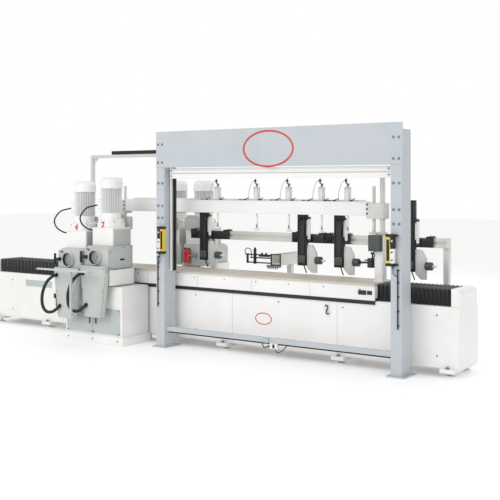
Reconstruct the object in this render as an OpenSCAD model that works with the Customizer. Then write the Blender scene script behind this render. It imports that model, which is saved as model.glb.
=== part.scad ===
/* [Bed] */
// Length of the bed along the travel
bed_len = 6770; // [6000:10:8000]
// Depth of the bed box
bed_depth = 482; // [440:2:520]
// Height of the bed box top above the floor
bed_top = 690; // [660:5:700]
// Height of the gap under the bed box
bed_gap = 90; // [70:5:120]

/* [Table] */
// Length of the travelling table
table_len = 3810; // [3600:10:3900]
// Depth of the travelling table
table_depth = 532; // [520:2:560]
// Height of the table surface above the floor
table_top = 868; // [860:1:880]
// Right end of the table, from the bed's middle
table_right = 2480; // [2400:10:2500]

/* [Clamping bridge] */
// Height of the underside of the beam
beam_z = 1555; // [1500:5:1600]
// Height of the beam section
beam_h = 148; // [120:2:160]
// Depth of the beam section
beam_d = 120; // [110:2:140]
// Diameter of the main bridge columns
column_d = 55; // [45:1:60]
// Length of the clamp stroke
clamp_stroke = 100; // [50:5:100]

/* [Portal] */
// Overall width of the portal over its posts
portal_w = 3120; // [3000:10:3200]
// Width of a post
post_w = 120; // [100:5:130]
// Depth of a post
post_d = 200; // [150:5:200]
// Height of a post
post_h = 2430; // [2400:10:2480]
// Bottom of the header panel
header_z = 2083; // [2070:1:2100]
// Height of the header panel
header_h = 414; // [380:1:430]

/* [Working units] */
// Diameter of the motor fan cowl
cowl_d = 277; // [240:1:280]
// Diameter of the dust port
port_d = 180; // [150:5:180]
// Spacing of the two units in one station
unit_pitch = 440; // [440:5:460]
// Place of the second front unit along the bed
front_unit_x = -880; // [-900:5:-860]
// Place of the right rear unit along the bed
rear_unit_x = -450; // [-460:5:-440]

/* [Rear rail] */
// Height of the middle of the rail
rail_z = 1270; // [1250:5:1290]
// Height of the rail section
rail_h = 104; // [90:2:110]

/* [Hidden] */
$fn = 48;

// Bed and table
bed_left = -bed_len / 2;
bed_right = bed_len / 2;
bed_half = bed_depth / 2;
cap_len = 95;                    // solid block at each end of the bed
cap_top = 850;
rail_y = 150;                    // distance of a guide rail from the middle
rail_w = 24;
rail_top = 715;
bellows_half = 200;              // half the outer width of the way covers
bellows_top = 865;
bellows_wall = 15;
bellows_gap = 2;
table_left = table_right - table_len;
table_half = table_depth / 2;
deck_z = 846;                    // underside of the table's top plate
frame_z = 745;                   // underside of the table's frame
apron_t = 12;
apron_in = bed_half + 6;         // inner face of the aprons, clear of the bed
apron_z = 655;
foot_xs = [-3270, -2300, -400, 560, 2060, 3270];

// Bridge
col_x1 = table_right - 40;       // main column, right
col_x2 = table_right - 140;      // second column, right
col_x3 = table_left + 60;        // main column, left
col_x4 = table_left + 160;       // second column, left
col2_d = 35;
post_top = 1365;
col_cap_z = 1974;
col2_top = 1860;
beam_left = table_left + 215;
beam_right = table_right - 200;
run_fit = 0.05;                  // radial running clearance
clamp_xs = [291, 847, 1280, 1705, 2027];
barrel_w = 56;
barrel_h = 155;
barrel_z = beam_z + beam_h;
piston_d = 40;
rod_d = 20;
arch_w = 220;                    // span of the air tube beside a clamp cylinder

// Portal
portal_x = -215;                 // left side of the left post
portal_y = -516;                 // front of the posts
post_right_x = portal_x + portal_w - post_w;
sheet = 6;
guide_y = 83;                    // guard guide, behind the front of a post
guide_z = 880;

// Working units
front_unit_y = -566;             // motor axis of the front units
rear_unit_y = 700;               // motor axis of the rear units
rear_drop = -35;                 // rest height of the rear heads
left_drop = -45;                 // rest height of the left front head
saddle_top = 800;
head_z = 890;
head_top = 1160;
head_half = 190;
head_front = -262;
head_back = 170;
mount_top = 1375;
ring_top = 1455;
flange_top = 1550;
motor_top = 1840;
cowl_top = 1975;
spindle_z = 1030;
guide_rod_d = 40;
guide_rod_x = 130;
shaft_d = 28;
base_top = 680;
front_base_x = [-1471, -547];
front_base_y = [-740, -275];
rear_base_x = [-1132, -208];
rear_base_y = [386, 874];

// Rear rail
stop_rail_y = [352, 416];
stop_rail_x = [-340, 3000];
carriage_xs = [-120, 1292, 1770, 2626];
carriage_arms = [[-240, 330], [-169, 259], [-200, 100], [-150, 235]];
slide_tops = [1600, 1560, 1560, 1721];
end_plate = 116;                 // table end plates under the bridge posts, with a 1 mm joint
reach_y = 1090;                  // furthest front and rear points from the bed's middle
pole_x = -2306;
pole_y = 584;

// Free cords, as lists of points by hand
cable_r = 9;
hose_r = 19;
// Both are given from the unit's own axis, so units 2 and 4 share them
motor_cable_pts = [
  [-186, -24, 1640], [-215, -60, 1632], [-270, -150, 1600], [-303, -215, 1500],
  [-262, -222, 1410], [-222, -150, 1350], [-200, -50, 1335], [-179, -30, 1335]
];
suction_hose_pts = [
  [-150, -336, 840], [-180, -368, 822], [-240, -398, 760], [-300, -400, 660],
  [-325, -400, 560], [-310, -400, 460], [-250, -396, 400], [-170, -380, 400],
  [-105, -357, 445], [-95, -336, 470]
];

module box(x, y, z) {
  translate([x[0], y[0], z[0]]) cube([x[1] - x[0], y[1] - y[0], z[1] - z[0]]);
}

module rod_z(x, y, z, d, n = 48) {
  translate([x, y, z[0]]) cylinder(d = d, h = z[1] - z[0], $fn = n);
}

module rod_y(x, y, z, d, n = 48) {
  translate([x, y[0], z]) rotate([-90, 0, 0]) cylinder(d = d, h = y[1] - y[0], $fn = n);
}

module rod_x(x, y, z, d, n = 48) {
  translate([x[0], y, z]) rotate([0, 90, 0]) cylinder(d = d, h = x[1] - x[0], $fn = n);
}

// Tube swept along a list of points: rings of sides, stepped evenly between the points
function catmull(p, i, t) =
  let (n = len(p), a = p[max(i - 1, 0)], b = p[i], c = p[min(i + 1, n - 1)], d = p[min(i + 2, n - 1)])
  0.5 * (2 * b + (c - a) * t + (2 * a - 5 * b + 4 * c - d) * t * t
    + (3 * b - a - 3 * c + d) * t * t * t);
function path(p, steps) = concat(
  [for (i = [0 : len(p) - 2], s = [0 : steps - 1]) catmull(p, i, s / steps)], [p[len(p) - 1]]);
function unit(v) = v / norm(v);
function heading(q, i) = unit(q[min(i + 1, len(q) - 1)] - q[max(i - 1, 0)]);

module tube(p, r, steps = 5, sides = 8) {
  q = path(p, steps);
  rings = [for (i = [0 : len(q) - 1])
    let (h = heading(q, i), side = unit(cross(h, [0.3, 1, 0.1])), up = cross(side, h))
    [for (k = [0 : sides - 1])
      q[i] + r * (cos(360 * k / sides) * side + sin(360 * k / sides) * up)]];
  pts = [for (ring = rings) for (v = ring) v];
  last = len(q) - 1;
  faces = concat(
    [[for (k = [sides - 1 : -1 : 0]) k]],
    [for (i = [0 : last - 1], k = [0 : sides - 1])
      let (a = i * sides + k, b = i * sides + (k + 1) % sides) [a, b + sides, a + sides]],
    [for (i = [0 : last - 1], k = [0 : sides - 1])
      let (a = i * sides + k, b = i * sides + (k + 1) % sides) [a, b, b + sides]],
    [[for (k = [0 : sides - 1]) last * sides + k]]);
  polyhedron(points = pts, faces = faces, convexity = 6);
}

// ---- Bed
module bed_body() {
  color("whitesmoke") {
    difference() {
      box([bed_left, bed_right], [-bed_half, bed_half], [bed_gap, bed_top]);
      for (i = [0 : 5])
        let (cell = (bed_len - 240) / 6, x0 = bed_left + 120 + i * cell)
          box([x0 + 15, x0 + cell - 15], [25 - bed_half, bed_half - 25], [bed_gap - 1, bed_top - 40]);
    }
    for (side = [-1, 1]) on_side(side)
      translate([bed_right - cap_len, bellows_half + 20, bed_top]) rotate([90, 0, 0])
        linear_extrude(2 * bellows_half + 40)
          difference() {
            square([cap_len, cap_top - bed_top + 15]);
            translate([cap_len - 60, cap_top - bed_top - 45]) difference() {
              square([61, 61]);
              circle(r = 60);
            }
          }
  }
}

module on_side(side) {
  if (side < 0) mirror([1, 0, 0]) children();
  else children();
}

module bed_feet() {
  color("gainsboro") for (x = foot_xs) {
    difference() {
      box([x - 70, x + 70], [-bed_half - 55, bed_half + 55], [50, bed_gap]);
      for (y = [-1, 1]) rod_z(x, y * (bed_half + 28), [49, bed_gap + 1], 18);
    }
    for (y = [-1, 1]) {
      rod_z(x, y * (bed_half - 40), [15, 50], 36);
      rod_z(x, y * (bed_half - 40), [0, 15], 110);
    }
  }
}

module guide_rails() {
  color("silver") {
    for (y = [-1, 1])
      box([bed_left + 115, bed_right - 115],
        [y * rail_y - rail_w / 2, y * rail_y + rail_w / 2], [bed_top, rail_top]);
    for (x = [front_unit_x, front_unit_x - unit_pitch], dx = [-140, 140])
      box([x + dx - 12, x + dx + 12], [front_base_y[0] + 15, front_base_y[1] - 15], [base_top, 699.7]);
    for (x = [rear_unit_x, rear_unit_x - unit_pitch], dx = [-140, 140])
      box([x + dx - 12, x + dx + 12], [rear_base_y[0] + 70, rear_base_y[1] - 15], [base_top, 699.7]);
  }
}

module way_cover(x0, x1) {
  difference() {
    box([x0, x1], [-bellows_half, bellows_half], [bed_top + bellows_gap, bellows_top]);
    box([x0 - 1, x1 + 1], [bellows_wall - bellows_half, bellows_half - bellows_wall],
      [bed_top, bellows_top - bellows_wall]);
  }
}

module bellows_left() {
  color([0.12, 0.15, 0.14]) way_cover(bed_left + cap_len + 2, table_left - 2);
}

module bellows_right() {
  color([0.12, 0.15, 0.14]) way_cover(table_right + 2, bed_right - cap_len - 2);
}

// ---- Portal
module portal_post(x) {
  difference() {
    box([x, x + post_w], [portal_y, portal_y + post_d], [12, post_h]);
    box([x + sheet, x + post_w - sheet], [portal_y + sheet, portal_y + post_d - sheet],
      [24, post_h - sheet]);
    for (z = [1500, 1640, 1900], dx = [30, post_w - 30])
      rod_y(x + dx, [portal_y - 1, portal_y + sheet + 1], z, 11);
  }
  difference() {
    box([x - 40, x + post_w + 40], [portal_y - 30, portal_y + post_d + 60], [0, 12]);
    for (dx = [-22, post_w + 22], dy = [-12, post_d + 42])
      rod_z(x + dx, portal_y + dy, [-1, 13], 14);
  }
}

module portal_posts() {
  color("lightsteelblue") for (x = [portal_x, post_right_x]) portal_post(x);
}

module header_panel() {
  x1 = portal_x + portal_w + 10;
  inner = [portal_x + post_w + 1, post_right_x - 1];
  color("lightsteelblue") {
    box([portal_x, x1], [portal_y - sheet, portal_y], [header_z, header_z + header_h]);
    box(inner, [portal_y, portal_y + 54], [header_z, header_z + sheet]);
    box(inner, [portal_y, portal_y + 54], [header_z + header_h - sheet, header_z + header_h]);
    for (i = [1 : 4])
      let (x = inner[0] + i * (inner[1] - inner[0]) / 5)
        box([x - 3, x + 3], [portal_y, portal_y + 54], [header_z + sheet, header_z + header_h - sheet]);
  }
}

module lower_crossbar() {
  z = [188, 240];
  color("lightsteelblue") {
    box([portal_x + post_w + 8, post_right_x - 8], [portal_y + 36, portal_y + 86], z);
    for (x = [portal_x + post_w, post_right_x - 8])
      box([x, x + 8], [portal_y + 20, portal_y + 102], [z[0] - 20, z[1] + 20]);
  }
  color("dimgray") box([1270, 1330], [portal_y + 16, portal_y + 36], [z[0] + 2, z[1] - 6]);
}

module guard_guides() {
  for (side = [0, 1])
    let (x = side == 0 ? portal_x + post_w : post_right_x - 25) {
      color("white") box([x, x + 25], [portal_y + guide_y, portal_y + guide_y + 30], [guide_z, header_z]);
      color("black") box([x, x + 25], [portal_y + guide_y + 75, portal_y + guide_y + 110],
        [guide_z, header_z]);
    }
}

module portal_bolts() {
  color("dimgray") for (x = [portal_x, post_right_x], z = [1500, 1640, 1900], dx = [30, post_w - 30])
    rod_y(x + dx, [portal_y - 7, portal_y], z, 18, 24);
  color("dimgray") for (x = [portal_x, post_right_x], z = [2140, 2350], dx = [30, post_w - 30])
    rod_y(x + dx, [portal_y - sheet - 6, portal_y - sheet], z, 16, 24);
}

module barrier() {
  // Local frame: inner corner of a post at x = 0, inside the opening towards +x
  color("black") for (z = [1093, 1380])
    box([-62, 30], [portal_y - 60, portal_y], [z - 6, z + 22]);
  color("white") box([-60, -22], [portal_y - 58, portal_y - 12], [1116, 1260]);
  color("black") box([-60, -22], [portal_y - 58, portal_y - 12], [1261, 1373]);
  color("gold") box([-21, 28], [portal_y - 58, portal_y - 12], [1116, 1373]);
}

module light_barriers() {
  translate([portal_x + post_w, 0, 0]) barrier();
  translate([post_right_x, 0, 0]) mirror([1, 0, 0]) barrier();
}

module post_cables() {
  // Cables clipped down the outer face of both posts
  color([0.1, 0.1, 0.1]) for (x = [portal_x + 30, post_right_x + post_w - 40]) {
    rod_z(x, portal_y - 12, [470, 1050], 12, 16);
    for (z = [500, 640, 780, 920, 1040]) box([x - 12, x + 12], [portal_y - 5.9, portal_y], [z, z + 16]);
  }
  color([0.1, 0.1, 0.1]) rod_x([portal_x + post_w + 20, post_right_x - 20], portal_y + 60, 176, 14, 16);
}

// ---- Guard bar that drops in front of the table
module guard_bar() {
  z = header_z - 128;
  color("white") difference() {
    box([portal_x + post_w + 30, post_right_x - 30], [portal_y + guide_y - 20, portal_y + guide_y + 40],
      [z, header_z - 10]);
    box([portal_x + post_w + 60, post_right_x - 60], [portal_y + guide_y, portal_y + guide_y + 41],
      [z + 20, header_z - 30]);
  }
  color("black") for (x = [portal_x + post_w + 1, post_right_x - 29])
    box([x, x + 28], [portal_y + guide_y + 31, portal_y + guide_y + 72], [z + 20, header_z - 30]);
  color("black") for (x = [portal_x + post_w + 29, post_right_x - 60])
    box([x, x + 31], [portal_y + guide_y + 40, portal_y + guide_y + 60], [z + 20, header_z - 30]);
}

// ---- Table
module table_frame() {
  ys = [-apron_in, apron_in];
  color("silver") difference() {
    box([table_left + apron_t, table_right - apron_t], ys, [frame_z, deck_z]);
    for (i = [0 : 5])
      let (cell = (table_len - 2 * apron_t) / 6, x0 = table_left + apron_t + i * cell)
        box([x0 + 25, x0 + cell - 25], [-105, 105], [frame_z - 1, deck_z - 20]);
  }
}

module table_top_plate() {
  ys = [-table_half, table_half];
  color("tan") difference() {
    box([table_left + end_plate, table_right - end_plate], ys, [deck_z, table_top]);
    for (x = [table_left + 500 : 400 : table_right - 500], y = [-180, 180])
      rod_z(x, y, [deck_z - 1, table_top + 1], 13);
  }
  // Short end plates that the bridge posts stand on
  color("tan") for (x = [table_left, table_right - end_plate + 1])
    box([x, x + end_plate - 1], ys, [deck_z, table_top]);
}

module table_panels() {
  xs = [table_left, table_right];
  for (y = [[-apron_in - apron_t, -apron_in], [apron_in, apron_in + apron_t]]) {
    color("white") box(xs, y, [apron_z + 40, deck_z]);
    color("black") box(xs, y, [apron_z, apron_z + 39.9]);
  }
  color("white") for (x = [table_left, table_right - apron_t])
    box([x, x + apron_t], [-apron_in, apron_in], [rail_top + 3, deck_z]);
}

module table_runners() {
  color("gray") for (x = [table_left + 250 : 655 : table_right - 200], y = [-1, 1]) difference() {
    box([x, x + 120], [y * rail_y - 35, y * rail_y + 35], [bed_top + 6, frame_z]);
    box([x - 1, x + 121], [y * rail_y - rail_w / 2 - 0.3, y * rail_y + rail_w / 2 + 0.3],
      [bed_top + 5, rail_top + 0.3]);
  }
}

module bridge_columns() {
  for (xs = [[col_x1, col_x2, table_right - 112, table_right - 14],
             [col_x3, col_x4, table_left + 14, table_left + 112]]) {
    color("white") box([xs[2], xs[3]], [-49, 49], [table_top, post_top]);
    color("gainsboro") box([min(xs[0], xs[1]) - 40, max(xs[0], xs[1]) + 38], [-49, 49],
      [post_top, post_top + 20]);
    color("silver") {
      rod_z(xs[0], 0, [post_top + 20, col_cap_z - 14], column_d);
      rod_z(xs[1], 0, [post_top + 20, col2_top], col2_d);
    }
    color("whitesmoke") rod_z(xs[0], 0, [col_cap_z - 14, col_cap_z], column_d + 16);
  }
}

module end_stop() {
  x = table_right - 112;
  color("black") {
    box([x - 90, x], [-40, 40], [1010, 1110]);
    rod_x([x - 190, x - 90], 0, 1060, 22, 24);
    rod_x([x - 215, x - 190], 0, 1060, 52, 24);
    rod_z(x - 45, 0, [1110, 1150], 18, 24);
    rod_z(x - 45, 0, [1150, 1172], 44, 24);
  }
  color("dimgray") box([x + 2, x + 96], [-114, -49], [1190, 1360]);
}

// ---- Bridge
module bridge_beam() {
  color("whitesmoke") difference() {
    box([beam_left, beam_right], [-beam_d / 2, beam_d / 2], [beam_z, beam_z + beam_h]);
    for (x = clamp_xs) rod_z(x, 0, [beam_z - 1, beam_z + beam_h + 1], rod_d + 6);
  }
  for (e = [[beam_right, table_right + 5, col_x1, col_x2], [table_left - 5, beam_left, col_x3, col_x4]])
    color("silver") difference() {
      box([e[0], e[1]], [-70, 70], [beam_z - 28, beam_z + beam_h - 10]);
      rod_z(e[2], 0, [beam_z - 29, beam_z + beam_h], column_d + 2 * run_fit);
      rod_z(e[3], 0, [beam_z - 29, beam_z + beam_h], col2_d + 2 * run_fit);
    }
}

module clamp_cylinders() {
  color("white") for (x = clamp_xs) {
    difference() {
      translate([x - barrel_w / 2, -barrel_w / 2, barrel_z]) cube([barrel_w, barrel_w, barrel_h]);
      rod_z(x, 0, [barrel_z + 12, barrel_z + barrel_h - 12], piston_d + 2 * run_fit);
      rod_z(x, 0, [barrel_z - 1, barrel_z + 13], rod_d + 2 * run_fit);
    }
    rod_z(x, 0, [barrel_z + barrel_h, barrel_z + barrel_h + 30], 20, 24);
  }
  // Fittings, and the stiff nylon tubes that arch over from the beam
  z0 = barrel_z + barrel_h + 62;
  color("dimgray") for (x = clamp_xs) {
    rod_z(x, 0, [barrel_z + barrel_h + 30, z0], 30, 24);
    rod_z(x - arch_w, 0, [barrel_z, barrel_z + 14], 20, 16);
  }
  color("gainsboro") for (x = clamp_xs) {
    translate([x - arch_w / 2, 0, z0]) rotate([90, 0, 0]) rotate_extrude(angle = 180)
      translate([arch_w / 2, 0]) circle(d = 8, $fn = 16);
    rod_z(x - arch_w, 0, [barrel_z + 14, z0], 8, 16);
  }
}

module clamp_rods() {
  color("silver") for (x = clamp_xs) {
    rod_z(x, 0, [1380, barrel_z + barrel_h - 34], rod_d);
    rod_z(x, 0, [barrel_z + barrel_h - 34, barrel_z + barrel_h - 14], piston_d);
  }
  color("white") for (x = clamp_xs) rod_z(x, 0, [1362, 1380], 62, 32);
}

// ---- Working units, each in its own frame with the motor axis at x = 0, y = 0
module saddle() {
  color("white") difference() {
    box([-205, 205], [-225, 165], [700, saddle_top]);
    for (dx = [-140, 140]) box([dx - 12.5, dx + 12.5], [-226, 166], [699, 700.2]);
  }
  color("white") for (x = [-215, 205]) box([x, x + 10], [-255, 165], [702, 885]);
  color("silver") for (x = [-guide_rod_x, guide_rod_x])
    rod_z(x, -60, [saddle_top, 1060], guide_rod_d);
}

module head() {
  color("silver") difference() {
    union() {
      translate([-head_half, 0, 0]) rotate([90, 0, 90]) linear_extrude(2 * head_half)
        polygon([[head_front, head_z], [head_back, head_z], [head_back, head_top],
          [head_front + 70, head_top], [head_front, spindle_z + port_d / 2 + 2]]);
      rod_y(0, [head_front - 45, head_front + 30], spindle_z, port_d);
    }
    for (x = [-guide_rod_x, guide_rod_x])
      rod_z(x, -60, [head_z - 1, 1150], guide_rod_d + 2 * run_fit);
    box([-62, 62], [-62, 62], [940, 1110]);
    rod_y(0, [61, head_back + 1], spindle_z, 40 + 2 * run_fit);
    rod_z(0, 0, [1109, head_top + 1], shaft_d + 2 * run_fit);
    rod_y(0, [head_front - 46, head_front + 20], spindle_z, port_d - 20);
  }
  color("white") difference() {
    box([-165, 165], [-150, 165], [head_top, mount_top]);
    rod_z(0, 0, [head_top - 1, mount_top + 1], shaft_d + 2 * run_fit);
  }
  color("gray") box([-150, 150], [165, 214], [mount_top - 30, mount_top + 125]);
  color("crimson") for (dx = [-150, -98])
    rod_z(dx, head_back + 26, [925, 1110], 52, 32);
  color("black") {
    for (x = [[-196, -190], [190, 196]]) box(x, [-60, 20], [985, 1010]);
    rod_x([-200, -135], head_front - 28, spindle_z, 24, 24);
    box([-160, -135], [head_front - 44, head_front], [spindle_z - 20, spindle_z + 20]);
    rod_z(-215, head_front - 28, [spindle_z - 65, spindle_z + 65], 30, 24);
  }
  color("dimgray") rod_x([-179, -165], -30, 1335, 26, 24);
}

module lower_cover() {
  color("gray") translate([0, head_front, 0]) rotate([90, 0, 0]) linear_extrude(60)
    polygon([[-130, 330], [130, 330], [200, 860], [200, 932], [-200, 932], [-200, 860]]);
  color("dimgray") for (p = [suction_hose_pts[0], suction_hose_pts[len(suction_hose_pts) - 1]])
    rod_y(p[0], [p[1], head_front - 60], p[2], 2 * hose_r + 8, 24);
}

module motor() {
  color("silver") difference() {
    rod_z(0, 0, [mount_top, ring_top], 330, 64);
    rod_z(0, 0, [mount_top - 1, ring_top + 1], shaft_d + 2 * run_fit);
  }
  color("silver") difference() {
    union() {
      rod_z(0, 0, [ring_top, flange_top], 240, 64);
      rod_z(0, 0, [flange_top, motor_top], 226, 64);
      for (a = [0 : 15 : 345]) rotate([0, 0, a]) box([108, 128], [-2.5, 2.5], [flange_top, motor_top - 4]);
    }
    rod_z(0, 0, [ring_top - 1, motor_top + 1], shaft_d + 2 * run_fit);
    rod_z(0, 0, [flange_top, motor_top - 20], 170, 48);
  }
  color("gray") box([-172, -120], [-60, 60], [1590, 1710]);
  color("dimgray") rod_x([-186, -172], -24, 1640, 26, 24);
}

module cowl() {
  color("white") difference() {
    union() {
      rod_z(0, 0, [motor_top, cowl_top - 60], cowl_d, 64);
      translate([0, 0, cowl_top - 60]) rotate_extrude($fn = 64) intersection() {
        scale([1, 1]) translate([cowl_d / 2 - 78, -18]) circle(r = 78, $fn = 64);
        square([cowl_d, 60]);
      }
      translate([0, 0, cowl_top - 60]) cylinder(d = cowl_d - 156, h = 60, $fn = 64);
    }
    rod_z(0, 0, [motor_top - 1, cowl_top - 30], cowl_d - 12 - 60, 64);
    rod_z(0, 0, [motor_top - 1, cowl_top - 66], cowl_d - 12, 64);
  }
}

module rotor() {
  color("silver") {
    rod_z(0, 0, [spindle_z + 45, 1900], shaft_d);
    rod_z(0, 0, [flange_top + 20, motor_top - 40], 166, 48);
    translate([0, 0, spindle_z + 20]) cylinder(r1 = 19, r2 = 44, h = 25);
  }
  color("black") {
    rod_z(0, 0, [1866, 1872], 200, 48);
    for (a = [0 : 45 : 315]) rotate([0, 0, a]) box([30, 98], [-2, 2], [1850, 1866]);
    rod_z(0, 0, [1850, 1866], 62, 32);
  }
}

module spindle() {
  color("silver") {
    translate([0, 20, spindle_z]) rotate([-90, 0, 0]) cylinder(r1 = 19, r2 = 44, h = 25);
    rod_y(0, [45, head_back + 20], spindle_z, 40);
    rod_y(0, [head_back + 20, head_back + 75], spindle_z, 56);
    rod_y(0, [head_back + 75, head_back + 150], spindle_z, 12, 24);
  }
}

module front_2(dz = 0) { translate([front_unit_x, front_unit_y, dz]) children(); }
module front_4(dz = left_drop) { translate([front_unit_x - unit_pitch, front_unit_y, dz]) children(); }
module rear_at(i, dz = rear_drop) {
  translate([rear_unit_x - i * unit_pitch, rear_unit_y, dz]) mirror([0, 1, 0]) children();
}

module saddle_2() { front_2() saddle(); }
module head_2() { front_2() head(); }
module lower_cover_2() { front_2() lower_cover(); }
module motor_2() { front_2() motor(); }
module cowl_2() { front_2() cowl(); }
module rotor_2() { front_2() rotor(); }
module spindle_2() { front_2() spindle(); }
module saddle_4() { front_4(0) saddle(); }
module head_4() { front_4() head(); }
module lower_cover_4() { front_4() lower_cover(); }
module motor_4() { front_4() motor(); }
module cowl_4() { front_4() cowl(); }
module rotor_4() { front_4() rotor(); }
module spindle_4() { front_4() spindle(); }
module rear_saddle() { for (i = [0, 1]) rear_at(i, 0) saddle(); }
module rear_heads() { for (i = [0, 1]) rear_at(i) head(); }
module rear_motors() { for (i = [0, 1]) rear_at(i) { motor(); cowl(); } }
module spindle_1() { rear_at(0) spindle(); }
module spindle_3() { rear_at(1) spindle(); }

module station_base(x, y) {
  color("white") difference() {
    box(x, y, [100, base_top]);
    box([x[0] + 20, x[1] - 20], [y[0] + 20, y[1] - 20], [99, base_top - 25]);
  }
  color("whitesmoke") difference() {
    box([x[0] - 25, x[1] + 25], [y[0] - 15, y[1] + 10], [0, 100]);
    box([x[0] + 25, x[1] - 25], [y[0] + 35, y[1] - 40], [-1, 90]);
  }
}

module station_bases() {
  station_base(front_base_x, front_base_y);
  color("gray") box([front_base_x[0] + 30, front_base_x[1] - 30],
    [front_base_y[0] - 6, front_base_y[0]], [112, 420]);
  station_base(rear_base_x, rear_base_y);
}

// ---- Overhead cable chain
module chain_pole() {
  y = [pole_y - 22, pole_y + 22];
  color("gainsboro") {
    box([pole_x - 22, pole_x + 22], y, [12, 2250]);
    box([pole_x - 22, pole_x + 1600], y, [2250, 2294]);
    translate([pole_x + 22, pole_y + 3, 2250]) rotate([90, 0, 0]) linear_extrude(6)
      polygon([[0, 0], [0, -90], [90, 0]]);
    difference() {
      box([pole_x - 90, pole_x + 90], [pole_y - 90, pole_y + 90], [0, 12]);
      for (dx = [-65, 65], dy = [-65, 65]) rod_z(pole_x + dx, pole_y + dy, [-1, 13], 14);
    }
  }
}

module cable_chain() {
  pitch = 47;
  color("black") for (i = [0 : 25])
    box([pole_x + 380 + i * pitch, pole_x + 380 + i * pitch + 45], [pole_y - 28, pole_y + 28],
      [2294, 2344]);
}

// ---- Rear rail and its stops
module stop_rail() {
  y = stop_rail_y;
  color("silver") difference() {
    box(stop_rail_x, y, [rail_z - rail_h / 2, rail_z + rail_h / 2]);
    box([stop_rail_x[0] - 1, stop_rail_x[1] + 1], [y[0] - 1, y[0] + 16], [rail_z - 14, rail_z + 14]);
  }
  color("silver") for (x = [stop_rail_x[1] - 60, -120]) {
    box([x, x + 60], [y[1], y[1] + 60], [12, rail_z + rail_h / 2]);
    difference() {
      box([x - 30, x + 90], [y[1] - 30, y[1] + 90], [0, 12]);
      for (dx = [-10, 70], dy = [-10, 70]) rod_z(x + dx, y[1] + dy, [-1, 13], 12);
    }
  }
}

module carriage(i) {
  arm = carriage_arms[i];
  y = stop_rail_y[0];
  top = rail_z + rail_h / 2;
  translate([carriage_xs[i], 0, 0]) color([0.1, 0.1, 0.1]) {
    box(arm, [y - 42, y - 0.3], [rail_z - 50, rail_z + 50]);
    for (x = [[arm[0], arm[0] + 70], [arm[1] - 70, arm[1]]]) {
      box(x, [y - 42, y + 64], [top + 0.5, top + 16]);
      box(x, [y - 42, y - 20], [rail_z + 49, top + 16]);
    }
  }
}

module slide(i) {
  y = stop_rail_y[0] - 42.4;
  translate([carriage_xs[i], 0, 0]) {
    color([0.1, 0.1, 0.1]) {
      box([-60, 60], [y - 52, y], [960, slide_tops[i]]);
      box([-50, 50], [y - 66, y - 52], [990, 1080]);
    }
    color("white") rod_z(85, y - 30, [1240, 1520], 40, 32);
    color("white") box([60, 70], [y - 50, y - 10], [1300, 1480]);
    color("gray") translate([60, y - 10, 1050]) rotate([90, 0, 0]) linear_extrude(30)
      polygon([[0, 150], [70, 150], [125, 60], [125, -165], [60, -165], [0, -110]]);
    color("silver") rod_x([185, 260], y - 47, 1030, 90, 32);
    color("black") rod_x([260, 310], y - 47, 1030, 24, 24);
  }
}

module carriage_1() { carriage(0); }
module carriage_2() { carriage(1); }
module carriage_3() { carriage(2); }
module carriage_4() { carriage(3); }
module slide_1() { slide(0); }
module slide_2() { slide(1); }
module slide_3() { slide(2); }
module slide_4() { slide(3); }

module support_arms() {
  // Trough behind the bed that carries the rear end of a wide workpiece
  x = 760;
  color("silver") difference() {
    box([x, x + 140], [stop_rail_y[1] + 14, reach_y], [930, 1060]);
    box([x + 20, x + 120], [stop_rail_y[1] + 13, reach_y + 1], [950, 1061]);
  }
  color("silver") box([x + 40, x + 100], [720, 780], [12, 930]);
  color("silver") difference() {
    box([x - 20, x + 160], [660, 840], [0, 12]);
    for (dx = [0, 140], dy = [680, 820]) rod_z(x + dx, dy, [-1, 13], 12);
  }
}

// ---- Air service unit and tray
module service_unit() {
  x = -1990;
  y = -330;
  color("goldenrod") {
    rod_z(x - 40, y, [300, 420], 70, 32);
    rod_z(x + 40, y, [250, 420], 60, 32);
  }
  color("black") box([x - 90, x + 90], [y - 40, y + 40], [420, 480]);
  color("gold") rod_z(x - 40, y, [480, 520], 50, 32);
  color("gray") box([x - 30, x + 30], [y + 40, -bed_half], [430, 470]);
}

module tray_bar() {
  // The bracket comes up between the two front units, in front of their hoses
  y = [-reach_y, 100 - reach_y];
  x = front_unit_x - unit_pitch / 2;
  color("gainsboro") {
    box([-1595, -760], y, [870, 876]);
    rod_z(-1595, (y[0] + y[1]) / 2, [870, 876], 100, 48);
    box([-1595, -760], [y[0], y[0] + 6], [876, 892]);
    box([x - 12, x + 12], [y[1] - 40, y[1] - 16], [314.1, 869.9]);
    box([x - 12, x + 12], [y[1] - 40, front_base_y[0] - 6], [290, 314]);
  }
}

// ---- Free cords
module motor_cable_2() { color([0.1, 0.1, 0.1]) front_2() tube(motor_cable_pts, cable_r); }
module motor_cable_4() { color([0.1, 0.1, 0.1]) front_4() tube(motor_cable_pts, cable_r); }
module suction_hose_2() { color([0.1, 0.1, 0.1]) front_2() tube(suction_hose_pts, hose_r); }
module suction_hose_4() { color([0.1, 0.1, 0.1]) front_4() tube(suction_hose_pts, hose_r); }

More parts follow.
